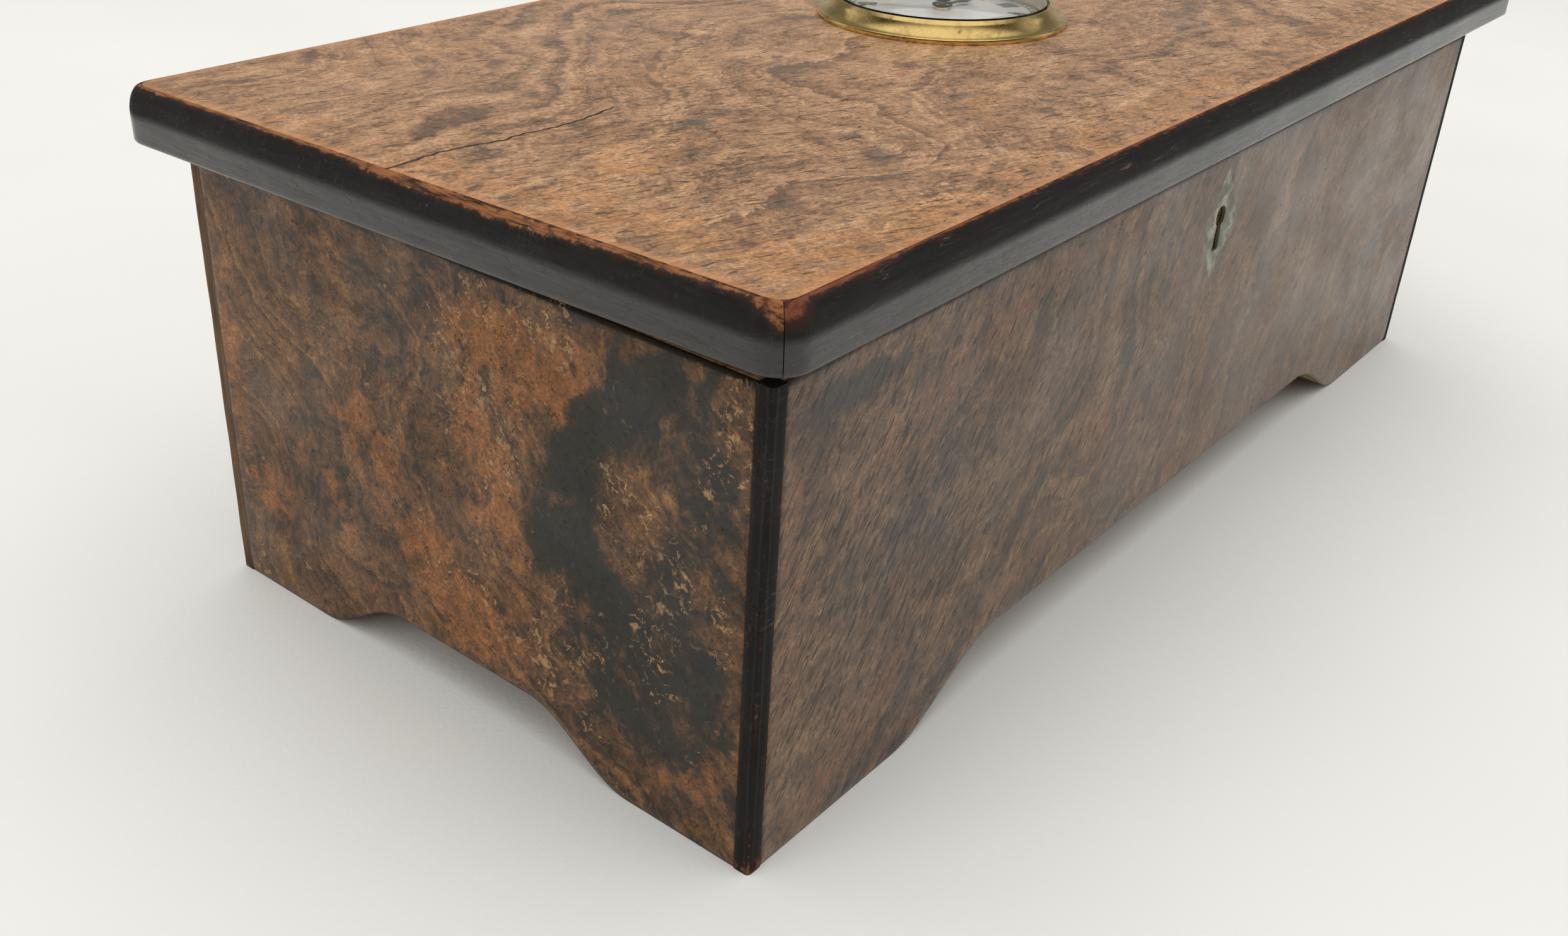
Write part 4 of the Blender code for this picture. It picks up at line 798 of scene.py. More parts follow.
g = Graph(lid_finish.node_tree)
shader = next(n for n in g.tree.nodes if n.type == "BSDF_PRINCIPLED").inputs
at = g.position()
off_crack, rim_wear, on_crack = g.numbers("edges")
off_crack = g.plus(off_crack, g.times(g.minus(g.noise(at, 2.5, 3, 0.7), 0.5), 0.9))
split = g.times(g.rise(g.math("ABSOLUTE", off_crack), 0.42, 0.18), g.rise(on_crack, 0.1, 0.4))
rubbed = g.use(ragged_patch, Position=at, Field=rim_wear, Fray=0.5, Grain=2.6, Softness=0.2)[0]
base = shader["Base Color"].links[0].from_socket
base = g.mix(g.times(rubbed, 0.45), base, (0.50, 0.215, 0.075))
g.plug(shader["Base Color"], g.mix(split, base, (0.012, 0.007, 0.005)))
g.plug(
    shader["Normal"], g.bump(g.minus(1.0, split), 0.12, 1.0, shader["Normal"].links[0].from_socket)
)
make_piece(
    "lid_veneer_leaf", points, faces, "lid", lid_finish, ("lid_veneer",), lid_numbers,
    50
)

# %% [markdown]
# ## Black moulding round the lid
# Four strips of black-stained wood with mitred corners. The section is carried along each side
# and half of each corner. It was shaped with a scratch tool, so its round top is not quite even:
# slow waves pull the surface in by a tenth of a millimetre or so, and never push it out.

# %% Moulding section and sweep
def moulding_section():
    """(out, up, round): a small curved foot, an upright face, then a quarter of an ellipse.

    round is -1 at the foot, 0 where the face starts to turn and 1 where it meets the veneer.
    """
    a = np.linspace(0, np.pi / 2, 7)
    foot = np.stack([EDGING_WIDTH - 0.9 * (1 - np.sin(a)), 0.9 * (1 - np.cos(a)), -1 + 0.2 * a], 1)
    up = np.linspace(0.9, EDGING_FACE, 9)[1:-1]
    face = np.stack([0 * up + EDGING_WIDTH, up, -0.7 + 0.7 * (up - 0.9) / (EDGING_FACE - 0.9)], 1)
    a = np.linspace(0, np.pi / 2, 22)
    shoulder = np.stack(
        [
            0.3 + (EDGING_WIDTH - 0.3) * np.cos(a),
            EDGING_FACE + (EDGING_HEIGHT - EDGING_FACE) * np.sin(a), a / (np.pi / 2)
        ], 1
    )
    inner = np.array([[-0.02, EDGING_HEIGHT - 0.02, 1.0], [-0.02, 0.0, -1.0]])
    return np.concatenate([foot, face, shoulder, inner])


def moulding(name, turn, half_run, reach, finish, rubs, seed):
    """Carries the section along a side and round half of each corner, then turns it into place."""
    section = moulding_section()
    radius = LID_INNER[2]
    bend = np.linspace(0, np.pi / 4 - 0.012, 7)
    run = half_run - radius
    straight = np.linspace(-run, run, int(2 * run / 2.2))
    corner = np.concatenate([0 * bend - run, straight, 0 * bend + run])
    angle = np.concatenate([-bend[::-1], 0 * straight, bend])
    out, up, around = section.T
    along = corner + 3 * angle
    waves = np.random.default_rng(seed)
    dip = sum(
        waves.uniform(0.3, 1) * (
            1 + np.sin(along * f + waves.uniform(0, 6.3))
        ) for f in (0.021, 0.06, 0.13, 0.31)
    )
    runs, rounds = np.broadcast_arrays(along[:, None], around[None])
    worn = soft_marks(
        runs.ravel(), rounds.ravel(), [(*m[:4], 0, m[4]) for m in rubs]
    ).reshape(runs.shape)
    pull = (0.022 * dip[:, None] + 0.28 * worn) * np.clip(around + 0.15, 0, 1) * (out > 0.1)
    far = radius + out - pull
    x = corner[:, None] + far * np.sin(angle)[:, None]
    y = -(reach - radius) - far * np.cos(angle)[:, None]
    z = LID_STEP + up - 0.6 * pull
    cos, sin = np.cos(turn), np.sin(turn)
    points = np.stack([x * cos - y * sin, x * sin + y * cos, z], -1).reshape(-1, 3)
    faces = list(grid_faces(*z.shape, False, True)) + end_caps(points, z.shape[1])
    numbers = {
        "section": np.stack([along[:, None] + 0 * z, around + 0 * z, worn], -1).reshape(-1, 3)
    }
    return make_piece(
        name, points, faces, "lid", finish, (name.replace("_strip", ""),), numbers,
        40
    )


# %% [markdown]
# ## Black-stained wood
# Stain only colours the surface. Where hands rub the round top, brown and then orange wood shows,
# and the varnish there is gone, so it is duller too. The upright face has kept its gloss. Its pores
# still show as small dents that run along the strip.

# %% Ebonised finish
def ebonised(
    name, grain_turn, wear_width, brown, rubbed_wood, lift, rough, gloss, coarse, black_stain=True
):
    """Dark stain, then a brown rub, then bare wood, each with a torn edge.

    lift rubs the round top all along, and coarse is how open the pores are.
    """
    material, g, shader = new_finish(name)
    shader["IOR"].default_value = 1.42
    shader["Coat Roughness"].default_value = 0.14
    at = g.position()
    _, around, worn = g.numbers("section")
    marks = g.use(handling, Position=at, Amount=1.0)
    line = g.stretch(at, grain_turn)
    streak = g.noise(g.vector("MULTIPLY", line, (0.1, 1, 1)), 1.1, 4, 0.7)
    pores = g.use(open_pores, Along=line, Amount=coarse)
    top = g.rise(around, 0.25, 0.95)
    field = g.plus(g.times(top, lift), g.times(worn, 0.85))
    thin = g.use(
        ragged_patch, Position=at, Field=g.plus(field, 0.14), Fray=0.36, Grain=6.0, Softness=0.2
    )[0]
    bare = g.use(
        ragged_patch, Position=at, Field=field, Fray=0.55, Grain=wear_width, Softness=0.12
    )[0]
    black = g.ramp(streak, (0.3, (0.004, 0.0038, 0.0034)), (0.7, (0.010, 0.0092, 0.0082)))
    if not black_stain:
        black = g.ramp(streak, (0.3, (0.05, 0.027, 0.014)), (0.7, (0.15, 0.082, 0.038)))
    colour = g.mix(g.times(thin, 0.75), black, brown)
    colour = g.mix(g.times(bare, g.rise(streak, 0.36, 0.56)), colour, rubbed_wood)
    colour = g.mix(g.times(marks["Scratches"], 0.5), colour, (0.16, 0.10, 0.07))
    speck = g.times(marks["Pits"], g.rise(worn, 0.2, 0.6))
    colour = g.mix(g.times(speck, 0.7), colour, (0.42, 0.40, 0.36))
    scuff = g.times(g.rise(g.noise(at, 3.4, 4, 0.7), 0.55, 0.7), g.rise(worn, 0.1, 0.7))
    colour = g.mix(g.times(scuff, 0.4), colour, (0.10, 0.10, 0.095))
    g.plug(shader["Base Color"], colour)
    dull = g.times_plus(bare, 0.3, rough)
    dull = g.times_plus(thin, 0.12, dull)
    rubbed_flat = g.rise(around, -0.12, 0.16)
    varnish = g.times(g.minus(1.0, rubbed_flat), gloss)
    g.plug(shader["Coat Weight"], g.times_plus(thin, -0.6 * gloss, varnish, clamp=True))
    dull = g.times_plus(rubbed_flat, 0.34, dull)
    g.plug(shader["Roughness"], g.times_plus(marks["Haze"], 0.1, dull))
    pore = g.math("MAXIMUM", g.rise(streak, 0.40, 0.3), pores["Pores"])
    relief = g.minus(g.times(streak, 0.5), g.times(pore, 0.6))
    relief = g.minus(relief, g.times(marks["Pits"], 0.7))
    relief = g.minus(relief, g.times(bare, 0.4))
    tool = g.streaks(line, (0.06, 0.55, 0.55), 2)
    wave = g.bump(tool, 0.35, 1.0, g.bump(g.noise(at, 9, 2), 0.3, 0.6))
    g.plug(shader["Normal"], g.bump(relief, 0.13, 1.0, wave))
    return material


ebony_x = ebonised(
    "ebonised moulding, long", (0, 0, 0), 2.2, (0.040, 0.012, 0.007), (0.16, 0.050, 0.022), 0.28,
    0.34, 0.7, 1.0
)
ebony_y = ebonised(
    "ebonised moulding, short", (0, 0, np.pi / 2), 2.0, (0.045, 0.017, 0.009), (0.24, 0.095, 0.036),
    0.31, 0.34, 0.6, 0.3
)
half_x, half_y = LID_INNER[:2]
front_rubs = [
    (-150, 0.95, 12, 0.16, 0.7), (-120, 0.97, 22, 0.1, 0.5), (-60, 0.97, 30, 0.08, 0.45),
    (0, 0.97, 30, 0.08, 0.4), (70, 0.97, 40, 0.08, 0.4), (-161, 0.6, 2.5, 0.4, 0.6),
    (130, 0.95, 20, 0.1, 0.5),
]
left_rubs = [
    (5, 0.8, 14, 0.2, 0.85), (28, 0.7, 14, 0.2, 0.5), (52, 0.88, 20, 0.16, 0.5),
    (-30, 0.93, 20, 0.1, 0.55), (-60, 0.95, 20, 0.1, 0.5), (78, 0.6, 2.5, 0.5, 0.9),
]
moulding("lid_edging_front_strip", 0, half_x, half_y, ebony_x, front_rubs, 3)
moulding(
    "lid_edging_right_strip", np.pi / 2, half_y, half_x, ebony_y,
    [(0, 0.9, 50, 0.15, 0.6), (-60, 0.7, 12, 0.3, 0.6)], 5
)
moulding("lid_edging_back_strip", np.pi, half_x, half_y, ebony_x, [(0, 0.95, 130, 0.1, 0.5)], 7)
moulding("lid_edging_left_strip", -np.pi / 2, half_y, half_x, ebony_y, left_rubs, 11)

# %% [markdown]
# ## Black strips on the corners
# Each upright corner of the body is guarded by a square strip with its outer edge rounded. The
# section goes round the strip and the other parameter goes up it. The two strips at the back were
# left brown, so they hardly show beside the veneer.

# %% Corner strips
def corner_strip(name, side_x, side_y, seed):
    """A square section with one rounded corner, whose radius wavers a little on the way up."""
    z = np.linspace(0, RIM, 64)[:, None]
    waves = np.random.default_rng(seed)
    waver = sum(0.5 + 0.5 * np.sin(z * f + waves.uniform(0, 6.3)) for f in (0.07, 0.19, 0.43)) / 3
    arris = 0.75 + 0.4 * waver
    a = np.linspace(0, np.pi / 2, 12)[None, :]
    across = np.concatenate(
        [
            0 * z, 0 * z + 1.6, STRIP - arris + arris * np.sin(a), 0 * z + STRIP, 0 * z + STRIP,
            0 * z
        ],
        1
    )
    deep = np.concatenate(
        [
            0 * z + STRIP, 0 * z + STRIP, STRIP - arris + arris * np.cos(a), 0 * z + 1.6, 0 * z,
            0 * z
        ],
        1
    )
    around = np.concatenate(
        [0 * z, 0 * z + 0.2, 1 - np.abs(a / (np.pi / 4) - 1) + 0 * z, 0 * z + 0.2, 0 * z, 0 * z], 1
    )
    x = side_x * (HALF_LONG - STRIP + across)
    y = side_y * (HALF_DEEP - STRIP + deep)
    points = np.stack([x, y, z + 0 * x], -1).reshape(-1, 3)
    rows, columns = x.shape
    worn = 0.55 * np.exp(-z / 9) + 0.3 * waver * (z > 30) + 0 * x
    numbers = {"section": np.stack([z + 0 * x, around, worn], -1).reshape(-1, 3)}
    faces = list(grid_faces(rows, columns, False, True)) + end_caps(points, columns)
    finish = ebony_z if side_y < 0 else brown_strip
    return make_piece(
        name + "_bar", points, faces, "box", finish, (name,), numbers, 40
    )


ebony_z = ebonised(
    "ebonised corner strip", (0, np.pi / 2, 0), 1.6, (0.024, 0.013, 0.009), (0.16, 0.06, 0.028),
    0.2, 0.5, 0.0, 0.3
)
brown_strip = ebonised(
    "brown corner strip", (0, np.pi / 2, 0), 1.6, (0.05, 0.025, 0.013), (0.2, 0.09, 0.04), 0.2, 0.5,
    0.2, 0.3, False
)
for name, side_x, side_y in (
    ("front_left", -1, -1), ("front_right", 1, -1), ("back_left", -1, 1), ("back_right", 1, 1)
):
    corner_strip("corner_strip_" + name, side_x, side_y, 17 + 2 * side_x + side_y)

# %% [markdown]
# ## Old metal
# Brass and nickel silver go dull in patches, first where polish can't reach. One group gives a
# tarnish mask and fine polishing lines. Each metal then mixes its bright colour with its tarnish.

# %% Tarnish and metals
tarnish, g, given, result = new_group(
    "tarnish", {
        "Position": (0.0, 0.0, 0.0), "Amount": 0.5, "Size": 4.0
    }, ("Film", "Specks", "Brushing")
)
at = g.shrink(given["Position"], given["Size"])
cloud = g.noise(at, 1.0, 5, 0.65, 0.5)
g.plug(result["Film"], g.rise(g.plus(cloud, g.times(given["Amount"], 0.3)), 0.48, 0.8))
g.plug(result["Specks"], g.times(g.rise(g.cells(at, 0.35), 0.25, 0.1), g.rise(cloud, 0.5, 0.6)))
g.plug(result["Brushing"], g.streaks(given["Position"], (0.5, 6.0, 6.0), 3, 0.6))


def old_metal(name, bright, film, roughness, amount, size, metallic=1.0):
    material, g, shader = new_finish(name, Metallic=metallic)
    at = g.position()
    age = g.use(tarnish, Position=at, Amount=amount, Size=size)
    marks = g.use(handling, Position=at, Amount=0.8)
    colour = g.mix(g.times(age["Film"], 0.85), bright, film)
    colour = g.mix(g.times(age["Specks"], 0.6), colour, dim(film, 0.4))
    fine = g.ramp(age["Brushing"], (0.3, (0.8,) * 3), (0.7, (1.0,) * 3))
    g.plug(shader["Base Color"], g.mix(0.6, colour, fine, "MULTIPLY"))
    dull = g.times_plus(age["Film"], 0.22, roughness)
    g.plug(shader["Roughness"], g.times_plus(marks["Scratches"], 0.15, dull))
    relief = g.minus(g.times(age["Brushing"], 0.25), g.times(marks["Scratches"], 0.5))
    g.plug(shader["Normal"], g.bump(g.minus(relief, g.times(age["Specks"], 0.4)), 0.02))
    return material


bezel_metal = old_metal("bezel brass", (0.95, 0.69, 0.27), (0.55, 0.33, 0.11), 0.14, 0.12, 5.0)
lock_metal = old_metal("lock brass", (0.58, 0.40, 0.16), (0.20, 0.125, 0.055), 0.32, 0.55, 4.0)
clock_metal = old_metal("clock brass", (0.74, 0.53, 0.22), (0.42, 0.27, 0.11), 0.24, 0.2, 7.0)
nickel_metal = old_metal(
    "nickel silver", (0.40, 0.40, 0.345), (0.20, 0.205, 0.16), 0.42, 0.6, 3.0, 0.75
)
steel_metal = old_metal("dulled steel", (0.50, 0.50, 0.51), (0.22, 0.19, 0.165), 0.3, 0.35, 3.0)
blued_metal = old_metal(
    "blackened steel hands", (0.035, 0.036, 0.050), (0.018, 0.016, 0.016), 0.28, 0.3, 3.0, 0.8
)

# %% [markdown]
# ## The key plate
# A lozenge of nickel silver let in flush round the keyhole. Both outlines are sampled at even
# steps from their tops, and straight lines join matching points, so the plate is one ring. Its
# outer edge drops a little where it was filed down level with the wood.

# %% Key plate
def even_steps(corners, count):
    """count points at even steps round a closed outline of (x, z) corners."""
    closed = np.vstack([corners, corners[:1]])
    run = np.append(0, np.cumsum(np.hypot(*np.diff(closed, axis=0).T)))
    at = np.linspace(0, run[-1], count, endpoint=False)
    return np.stack([np.interp(at, run, closed[:, k]) for k in (0, 1)], 1)


wide, tall, middle = LOZENGE
drop, eye, keyhole_height = 11.8, 2.3, 10.3  # keyhole's top below the rim, its round radius, height
centre, low = RIM - drop - eye, RIM - drop - keyhole_height
gap = np.arcsin(1.1 / eye)
a = np.linspace(np.pi / 2, -np.pi / 2 + gap, 20)
right = np.stack([eye * np.cos(a), centre + eye * np.sin(a)], 1)
right = np.vstack([right, [[1.55, low + 0.35], [1.2, low]]])
keyhole = even_steps(np.vstack([right, right[::-1] * (-1, 1)]), 160)
lozenge = even_steps(
    np.array([(0, middle + tall), (wide, middle), (0, middle - tall), (-wide, middle)], float), 160
)
steps = np.array(
    [
        (0, 0.35), (0, 0.06), (0.03, 0), (0.3, -0.03), (0.6, -0.03), (0.9, -0.03), (0.975, -0.01),
        (1, 0.03), (1, 0.8), (0.5, 0.8), (0, 0.8)
    ]
)
t, sink = steps[:, :1, None], steps[:, 1:, None]
ring = keyhole[None] * (1 - t) + lozenge[None] * t
y = -HALF_DEEP - 0.02 + sink[:, :, 0] + 0 * ring[:, :, 0]
points = np.stack([ring[:, :, 0], y, ring[:, :, 1]], -1).reshape(-1, 3)
make_piece(
    "key_plate", points, grid_faces(*y.shape, True, True), "box", nickel_metal, ("escutcheon",),
    smooth=35
)

# %% [markdown]
# ## Turned brass: the clock's bezel
# The bezel was turned on a lathe, so one profile spins round the clock's centre. The profile has a
# rounded lip on the lid, a hollow slope, a bead round the glass and a skirt down into the hole.

# %% A lathe
def lathe(profile):
    """Spins a closed profile of (radius, height) round the clock: x = r cos a, y = r sin a."""
    count = 160
    r, h = np.asarray(profile, float).T[:, :, None]
    a = np.linspace(0, 2 * np.pi, count, endpoint=False)[None, :]
    x, y = CLOCK[0] + r * np.cos(a), CLOCK[1] + r * np.sin(a)
    points = np.stack([x, y, CLOCK[2] + h + 0 * x], -1).reshape(-1, 3)
    return points, grid_faces(len(profile), count, True, True)


def corner_arc(x, y, radius, start, end, steps=6):
    a = np.radians(np.linspace(start, end, steps))
    return [(x + radius * np.cos(v), y + radius * np.sin(v)) for v in a]


t = np.linspace(0, 1, 14)[::-1]
slope = [(28.45 - 2.75 * v, 1.25 + 2.95 * (0.28 * v + 0.72 * v * v)) for v in t[1:]]
bezel = (
    [(24.72, 3.25), (24.72, 4.1)] + corner_arc(25.05, 4.07, 0.33, 160, 20) + slope
    + corner_arc(28.85, 0.72, 0.45, 110, 0) + [(29.3, 0.25), (29.2, 0.02), (26.2, 0.02)]
    + [
        (24.9, 0.02), (24.9, -4.0), (23.9, -4.0), (23.9, 1.05), (23.35, 1.1), (23.3, 3.1),
        (23.45, 3.2)
    ]
)
points, faces = lathe(bezel)
make_piece(
    "bezel_ring", points, faces, "lid", bezel_metal, ("clock_bezel",), smooth=40
)

# %% [markdown]
# ## The glass and the dial
# The glass is a shallow dome of even thickness. Real glass is a closed shell: light bends on the
# way in and again on the way out. The dial is white enamel on a copper disc; enamel pools and so
# rises slightly towards the middle.

# %% Glass and dial
t = np.linspace(0, 1, 20)
outer = [(23.6 * v, 4.72 + 2.1 * (1 - v * v)) for v in t]
inner = [(23.1 * v, 3.55 + 2.15 * (1 - v * v)) for v in t[::-1]]
shell = outer + [(24.3, 4.6), (24.38, 4.35), (24.38, 3.35)] + inner
points, _ = lathe(shell)
glass = bpy.data.materials.new("clock glass")
glass.use_nodes = True
g = Graph(glass.node_tree)
shader = g.tree.nodes["Principled BSDF"].inputs
shader["Metallic"].default_value = 0
shader["Transmission Weight"].default_value = 1
shader["IOR"].default_value = 1.46
shader["Base Color"].default_value = (0.985, 0.99, 0.985, 1)
at = g.position()
marks = g.use(handling, Position=at, Amount=0.5)
g.plug(shader["Roughness"], g.times_plus(marks["Haze"], 0.012, 0.004))
g.plug(
    shader["Normal"],
    g.bump(g.minus(g.noise(at, 15, 1), g.times(marks["Scratches"], 0.1)), 0.05, 0.4)
)
make_piece(
    "domed_glass", points, grid_faces(len(shell), 160), "lid", glass, ("clock_glass",),
    smooth=40
)

enamel, g, shader = new_finish("dial enamel")
shader["IOR"].default_value = 1.52
at = g.position()
speckle = g.rise(g.cells(at, 1.3), 0.09, 0.03)
tone = g.ramp(g.noise(at, 9, 3, 0.6), (0.35, (0.80, 0.795, 0.77)), (0.65, (0.86, 0.86, 0.845)))
g.plug(shader["Base Color"], g.mix(g.times(speckle, 0.35), tone, (0.45, 0.42, 0.37)))
g.plug(shader["Roughness"], g.rise(g.noise(at, 6, 2), 0.3, 0.7, 0.1, 0.22))
g.plug(shader["Normal"], g.bump(g.noise(at, 4, 2), 0.03, 0.5))
dial = [
    (1.9, 0.62), (2.3, 0.78), (12, 0.8), (22.6, 0.74), (23.2, 0.6), (23.42, 0.3), (23.42, -0.38),
    (1.9, -0.38)
]
points, faces = lathe(dial)
make_piece("enamel_dial", points, faces, "lid", enamel, ("clock_dial",), smooth=40)

# %% [markdown]
# ## Dial markings
# Black paint fired on the enamel: a minute track, longer marks at each hour, and upright roman
# numerals that follow the circle. Marks are thin plates made as one grid of boxes. The numerals
# are drawn from straight strokes rather than a font, so that their strokes can be as bold as
# painted ones.

# %% Dial paint
paint, g, shader = new_finish("dial paint")
at = g.position()
g.plug(
    shader["Base Color"],
    g.ramp(g.noise(at, 1.5, 3), (0.3, (0.012, 0.012, 0.014)), (0.7, (0.028, 0.027, 0.03)))
)
g.plug(shader["Roughness"], g.rise(g.noise(at, 2.5, 2), 0.3, 0.7, 0.25, 0.42))
g.plug(shader["Normal"], g.bump(g.noise(at, 0.7, 2), 0.01, 0.5))


def bars(strokes, level):
    """Thin plates from strokes of (radius 1, side 1, radius 2, side 2, width, degrees).

    side is how far a point lies to the right of the spoke that points at the angle.
    """
    r1, s1, r2, s2, width, angle = np.array(strokes, float).T
    way = np.stack([s2 - s1, r2 - r1], 1)
    way /= np.linalg.norm(way, axis=1)[:, None]
    across = np.stack([way[:, 1], -way[:, 0]], 1) * width[:, None] / 2
    ends = np.stack([np.stack([s1, r1], 1), np.stack([s2, r2], 1)], 1)
    flat = np.concatenate([ends + across[:, None], (ends - across[:, None])[:, ::-1]], 1)
    a = np.radians(angle)[:, None]
    x = CLOCK[0] + flat[:, :, 1] * np.sin(a) + flat[:, :, 0] * np.cos(a)
    y = CLOCK[1] + flat[:, :, 1] * np.cos(a) - flat[:, :, 0] * np.sin(a)
    high = np.stack([x, y, 0 * x + CLOCK[2] + level], -1)
    solid = np.concatenate([high, high - (0, 0, 0.12)], 1).reshape(-1, 3)
    one = np.array(
        [(3, 2, 1, 0), (4, 5, 6, 7), (0, 1, 5, 4), (1, 2, 6, 5), (2, 3, 7, 6), (3, 0, 4, 7)]
    )
    return solid, (one[None] + 8 * np.arange(len(strokes))[:, None, None]).reshape(-1, 4)


minutes = [(21.0, 0, 22.1, 0, 0.5 if n % 5 == 0 else 0.2, 6 * n) for n in range(60)]
numerals = "I II III IIII V VI VII VIII IX X XI XII".split()
widths = {"I": 1.15, "V": 2.6, "X": 2.6}
strokes = []
for hour, letters in enumerate(numerals, 1):
    at_side = -sum(widths[c] for c in letters) / 2
    for letter in letters:
        left, right = at_side + 0.15, at_side + widths[letter] - 0.15
        mid, angle = (left + right) / 2, 30 * hour
        if letter == "I":
            strokes.append((15.4, mid, 19.8, mid, 0.55, angle))
        elif letter == "V":
            strokes += [(19.8, left, 15.4, mid, 0.6, angle), (19.8, right, 15.4, mid, 0.28, angle)]
        else:
            strokes += [
                (19.8, left, 15.4, right, 0.6, angle), (19.8, right, 15.4, left, 0.28, angle)
            ]
        at_side += widths[letter]
points, faces = bars(minutes + strokes, 0.86)
make_piece("dial_numerals", points, faces, "lid", paint)
for name, radius in (("outer", 22.2), ("inner", 20.9)):
    wide = radius + 0.16
    points, faces = lathe([(radius, 0.86), (wide, 0.86), (wide, 0.6), (radius, 0.6)])
    make_piece(f"minute_track_{name}", points, faces, "lid", paint)

# %% [markdown]
# ## Slotted screws
# Small brass screws hold the lock, the link plate, the clock and the hinges. A head is a disc
# whose grid lines run along its slot, so the slot's walls stay crisp. The slots point every way,
# as a joiner leaves them.

# %% Screw heads
def screw_head(name, place, facing, body, turn, finish, replaces=(), radius=1.6):
    """Each line along the slot carries a loop: over the top, down the edge, underneath."""
    half, groove = 0.19, 0.42
    x = np.array(
        [
            -1.0, -0.96, -0.85, -0.6, -0.35, -half - 0.03, -half, half, half + 0.03, 0.35, 0.6,
            0.85, 0.96, 1.0
        ]
    )
    place_x = np.where(np.abs(x) > half + 0.02, x * radius, x)
    chord = np.sqrt(np.maximum(radius**2 - place_x**2, 0))
    t = np.linspace(-1, 1, 17)
    sunk = np.where(
        np.abs(x) <= half, -groove, 0.0
    )[:, None] - 0.10 * (place_x**2 / radius**2)[:, None]
    top_y = chord[:, None] * t[None]
    top_z = sunk - 0.10 * t[None] ** 2 * (chord[:, None] / radius) ** 2 + 0.02
    low_y, low_z = top_y[:, ::-1] * 0.72, 0 * top_z - 0.9
    px = np.concatenate([place_x[:, None] + 0 * top_y, place_x[:, None] * 0.72 + 0 * low_y], 1)
    py, pz = np.concatenate([top_y, low_y], 1), np.concatenate([top_z, low_z], 1)
    cos, sin = np.cos(turn), np.sin(turn)
    flat = np.stack(
        [px * cos - py * sin, (px * sin + py * cos) * facing, pz * facing], -1
    ).reshape(-1, 3)
    faces = grid_faces(*px.shape, False, True)
    return make_piece(
        name, flat + np.array(place, float), faces, body, finish, replaces, smooth=30
    )


for n, x in enumerate((-26, 26), 1):
    screw_head(
        f"lock_screw_{n}_head", (x, -66.9, 95.0), 1, "box", 0.6 * n, lock_metal,
        (f"lock_screw_{n}",)
    )
for n, x in enumerate((-19, 19), 1):
    screw_head(
        f"link_screw_{n}_head", (x, -65.7, 91.98), -1, "lid", 1.1 * n, lock_metal,
        (f"link_screw_{n}",)
    )
for n, angle in enumerate(np.radians([90, 210, 330]), 1):
    spot = (28.15 * np.cos(angle), CLOCK[1] + 28.15 * np.sin(angle), 93.7)
    screw_head(
        f"clamp_screw_{n}_head", spot, -1, "lid", 0.8 * n, clock_metal, (f"clamp_screw_{n}",),
    )
for side, label in ((-1, "left"), (1, "right")):
    for n, shift in enumerate((-11.5, 0, 11.5), 1):
        spot = (109 * side + shift, 68.6 + (0.9 if n == 2 else 0))
        screw_head(
            f"hinge_{label}_body_screw_{n}", (*spot, 95.0), 1, "box", 0.7 * n + side, lock_metal,
            radius=1.35
        )
        screw_head(
            f"hinge_{label}_lid_screw_{n}", (*spot, 95.42), -1, "lid", 1.3 * n - side, lock_metal,
            radius=1.35
        )

# %% [markdown]
# ## Velvet linings
# Thin velvet is glued round the walls, on the bottom and inside the lid. Glued velvet follows its
# card, so it isn't draped; only its edges roll over and its pile stands unevenly. The wall lining
# is a section carried round a rectangle, and it breaks off at both ends of the lock.

# %% Velvet
velvet, g, shader = new_finish("crimson velvet")
shader["Sheen Weight"].default_value = 0.7
shader["Sheen Roughness"].default_value = 0.35
shader["Sheen Tint"].default_value = (0.9, 0.45, 0.42, 1)
at = g.position()
nap = g.noise(at, 0.35, 3, 0.7)
brushed = g.rise(g.noise(at, 18, 4, 0.62, 0.8), 0.35, 0.65)
pile = g.mix(brushed, (0.105, 0.012, 0.020), (0.21, 0.030, 0.040))
pile = g.darken(0.6, pile, nap, (0.3, 0.35), (0.7, 1.0))
dust = g.times(g.rise(g.noise(at, 5, 4, 0.7), 0.6, 0.75), 0.35)
g.plug(shader["Base Color"], g.mix(dust, pile, (0.26, 0.16, 0.14)))
g.plug(shader["Roughness"], g.times_plus(brushed, -0.12, 0.98))
g.plug(shader["Normal"], g.bump(g.times_plus(brushed, 0.3, nap), 0.25))


